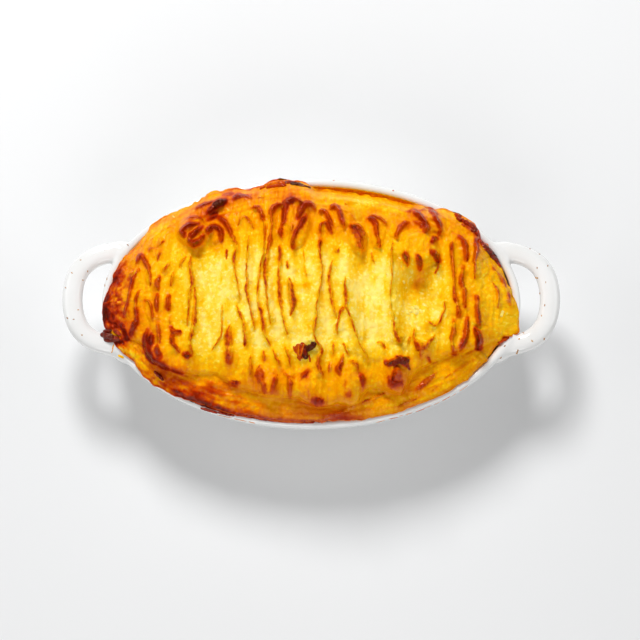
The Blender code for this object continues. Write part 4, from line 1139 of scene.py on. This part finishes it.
class Nodes:
    """Short hand for building a material's node tree."""

    def __init__(self, name):
        self.material = bpy.data.materials.new(name)
        self.material.use_nodes = True
        self.tree = self.material.node_tree
        self.shader = self.tree.nodes["Principled BSDF"]

    def add(self, kind, **settings):
        node = self.tree.nodes.new(kind)
        for key, value in settings.items():
            setattr(node, key, value)
        return node

    def link(self, source, target):
        self.tree.links.new(source, target)

    def noise(self, scale, detail, roughness=0.55):
        """Noise in object coordinates."""
        node = self.add("ShaderNodeTexNoise")
        node.inputs["Scale"].default_value = scale
        node.inputs["Detail"].default_value = detail
        node.inputs["Roughness"].default_value = roughness
        self.link(self.add("ShaderNodeTexCoord").outputs["Object"], node.inputs["Vector"])
        return node.outputs["Fac"]

    def math(self, operation, first, second=None, third=None):
        node = self.add("ShaderNodeMath", operation=operation)
        for socket, value in zip(node.inputs, (first, second, third)):
            if value is None:
                continue
            if isinstance(value, (int, float)):
                socket.default_value = value
            else:
                self.link(value, socket)
        return node.outputs[0]

    def attribute(self, name):
        return self.add("ShaderNodeAttribute", attribute_name=name).outputs["Fac"]

    def ramp(self, value, stops):
        node = self.add("ShaderNodeValToRGB")
        elements = node.color_ramp.elements
        while len(elements) < len(stops):
            elements.new(0.5)
        for element, (position, colour) in zip(elements, stops):
            element.position = position
            element.color = (*colour, 1.0)
        self.link(value, node.inputs["Fac"])
        return node.outputs["Color"]

    def bump(self, height, strength, distance, normal=None):
        node = self.add("ShaderNodeBump")
        node.inputs["Strength"].default_value = strength
        node.inputs["Distance"].default_value = distance
        self.link(height, node.inputs["Height"])
        if normal:
            self.link(normal, node.inputs["Normal"])
        return node.outputs["Normal"]


def rgb(red, green, blue):
    """Linear colour from eight-bit screen values."""
    shares = (v / 255 for v in (red, green, blue))
    return tuple(((v + 0.055) / 1.055) ** 2.4 if v > 0.04 else v / 12.92 for v in shares)


# Colours from pale potato to char.
TOAST_STOPS = (
    (0.00, rgb(255, 231, 124)),
    (0.12, rgb(255, 217, 70)),
    (0.24, rgb(252, 198, 14)),
    (0.36, rgb(248, 170, 0)),
    (0.46, rgb(236, 138, 0)),
    (0.56, rgb(212, 88, 0)),
    (0.68, rgb(178, 44, 0)),
    (0.82, rgb(124, 18, 0)),
    (1.00, rgb(62, 8, 0)),
)
WARM_TINT = (1.0, 0.70, 0.45, 1.0)
AMBER_TINT = (1.0, 0.75, 0.55, 1.0)
FAT_DEPTH = 0.0016


def potato_material(name, mottling, glint, relief, roughness):
    """Potato coloured by its toast attribute, with pale flecks that are partly potato grain and partly
    painted highlights, browner mottles and moist glints.
    """
    n = Nodes(name)
    toast = n.attribute("toast")
    mottle = n.math("MULTIPLY_ADD", n.noise(420, 4), 2 * mottling, -mottling)
    # Pale flecks: potato grain, and partly painted highlights where bumps catch the light.
    grain_fleck_and_painted_glint = n.math("MULTIPLY", n.math("MAXIMUM", n.math("SUBTRACT", n.noise(640, 2), 0.52), 0.0), -2.6)
    untoasted = n.math("MAXIMUM", n.math("SUBTRACT", 0.60, toast), 0.0)
    amount = n.math("ADD", n.math("ADD", toast, mottle), n.math("MULTIPLY", grain_fleck_and_painted_glint, untoasted))
    n.link(n.ramp(amount, TOAST_STOPS), n.shader.inputs["Base Color"])
    n.link(n.math("MULTIPLY_ADD", n.noise(500, 3), roughness, 0.04), n.shader.inputs["Roughness"])
    n.shader.inputs["Subsurface Weight"].default_value = 0.25
    n.shader.inputs["Subsurface Radius"].default_value = (1.0, 0.6, 0.15)
    n.shader.inputs["Subsurface Scale"].default_value = FAT_DEPTH
    n.shader.inputs["Specular IOR Level"].default_value = glint
    n.shader.inputs["Specular Tint"].default_value = WARM_TINT
    lumps = n.bump(n.noise(480, 2, 0.5), 0.7, 0.0012 * relief)
    grain = n.bump(n.noise(1200, 2, 0.5), 0.6, 0.0004 * relief, lumps)
    n.link(grain, n.shader.inputs["Normal"])
    return n.material


def char_material():
    """Glossy caramelised juice, from red brown to nearly black."""
    n = Nodes("charred_juice")
    amount = n.math("MULTIPLY_ADD", n.noise(700, 3), 0.5, n.math("SUBTRACT", n.attribute("toast"), 0.25))
    n.link(n.ramp(amount, TOAST_STOPS), n.shader.inputs["Base Color"])
    n.link(n.math("MULTIPLY_ADD", n.noise(400, 2), 0.12, 0.02), n.shader.inputs["Roughness"])
    n.shader.inputs["Specular IOR Level"].default_value = 0.6
    n.shader.inputs["Specular Tint"].default_value = AMBER_TINT
    n.link(n.bump(n.noise(650, 3), 0.8, 0.0012), n.shader.inputs["Normal"])
    return n.material


def speck_material():
    """Dry brown of specks baked on the glaze."""
    n = Nodes("baked_specks")
    browns = n.ramp(n.noise(200, 2), ((0.35, rgb(206, 160, 102)), (0.65, rgb(148, 96, 52))))
    n.link(browns, n.shader.inputs["Base Color"])
    n.shader.inputs["Roughness"].default_value = 0.6
    return n.material


def glaze_material():
    n = Nodes("white_glaze")
    shade = n.ramp(n.noise(60, 3), ((0.3, rgb(234, 234, 232)), (0.7, rgb(240, 240, 239))))
    n.link(shade, n.shader.inputs["Base Color"])
    n.link(n.math("MULTIPLY_ADD", n.noise(240, 2), 0.08, 0.07), n.shader.inputs["Roughness"])
    n.shader.inputs["Specular IOR Level"].default_value = 0.5
    n.shader.inputs["Coat Weight"].default_value = 0.3
    n.shader.inputs["Coat Roughness"].default_value = 0.04
    n.link(n.bump(n.noise(90, 2), 0.05, 0.0006), n.shader.inputs["Normal"])
    return n.material


def floor_material():
    n = Nodes("studio_floor")
    pale_greys = n.ramp(n.noise(3, 2), ((0.3, (0.80, 0.805, 0.81)), (0.7, (0.82, 0.825, 0.83))))
    n.link(pale_greys, n.shader.inputs["Base Color"])
    n.shader.inputs["Roughness"].default_value = 0.7
    return n.material


# ---------------------------------------------------------------- studio


# Camera, in millimetres but for the angle.
CAMERA_AIM = (4.2, -8.3, RIM_Z)
CAMERA_ELEVATION = math.radians(84)
CAMERA_DISTANCE = 1200.0
VIEW_WIDTH = 305.2
SENSOR = 36.0
WORLD_STRENGTH = 0.15

# The point in metres that every light faces.
LIGHT_AIM = (0, 0, 0.04)

# Soft lights: name, place and diameter in metres, power in watts.
LIGHTS = (
    ("key", (-0.18, 0.78, 0.88), 0.36, 11.6),
    ("left", (-0.95, 0.1, 0.62), 0.8, 2.1),
    ("right", (0.95, 0.1, 0.62), 0.8, 2.1),
    ("front", (0, -1.0, 0.6), 0.9, 5.9),
)


def make_camera():
    camera = bpy.data.objects.new("camera", bpy.data.cameras.new("camera"))
    bpy.context.scene.collection.objects.link(camera)
    bpy.context.scene.camera = camera
    aim = Vector(CAMERA_AIM) * MM
    away = Vector((0, -math.cos(CAMERA_ELEVATION), math.sin(CAMERA_ELEVATION)))
    camera.location = aim + away * CAMERA_DISTANCE * MM
    camera.rotation_euler = (-away).to_track_quat("-Z", "Y").to_euler()
    camera.data.sensor_width = SENSOR
    camera.data.lens = SENSOR * CAMERA_DISTANCE / VIEW_WIDTH
    camera.data.clip_start = 0.01


def area_light(name, place, size, power):
    light = bpy.data.lights.new(name, "AREA")
    light.shape = "DISK"
    light.size = size
    light.energy = power
    made = bpy.data.objects.new(name, light)
    bpy.context.scene.collection.objects.link(made)
    made.location = place
    made.rotation_euler = (Vector(LIGHT_AIM) - Vector(place)).to_track_quat("-Z", "Y").to_euler()


def make_studio():
    bpy.context.scene.view_settings.view_transform = "Standard"
    world = bpy.data.worlds.new("studio")
    bpy.context.scene.world = world
    world.use_nodes = True
    background = world.node_tree.nodes["Background"]
    background.inputs["Color"].default_value = (1, 1, 1, 1)
    background.inputs["Strength"].default_value = WORLD_STRENGTH
    for light in LIGHTS:
        area_light(*light)
    corners = [(-3, -3, 0), (3, -3, 0), (3, 3, 0), (-3, 3, 0)]
    floor = new_object("floor", corners, [(0, 1, 2, 3)], floor_material(), smooth=False)


# ---------------------------------------------------------------- build


def keep(piece, slot, *replaced):
    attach(piece, "root")
    if replaced:
        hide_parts(*replaced)


make_camera()
make_studio()
dish = make_dish(glaze_material())
crust = potato_material("toasted_crest", 0.10, 0.34, 1.5, 0.14)
keep(dish, "white_glaze", "dish")
keep(make_pie(potato_material("baked_potato", 0.06, 0.14, 0.55, 0.30)), "baked_potato", "pie")
keep(make_crest_caps(crust), "baked_potato")
keep(make_lumps("burnt_flakes", FLAKES, crust, 0.45), "baked_potato")
keep(make_lumps("charred_juice", CHAR, char_material(), 0.5), "baked_potato")
keep(make_lumps("potato_grains", GRAINS, crust, 0.5), "baked_potato")
keep(make_specks("baked_specks", SPECKS, dish, speck_material()), "baked_potato")
keep(make_specks("baked_drips", DRIPS, dish, crust), "baked_potato")
keep(make_juice_film(crust), "baked_potato")
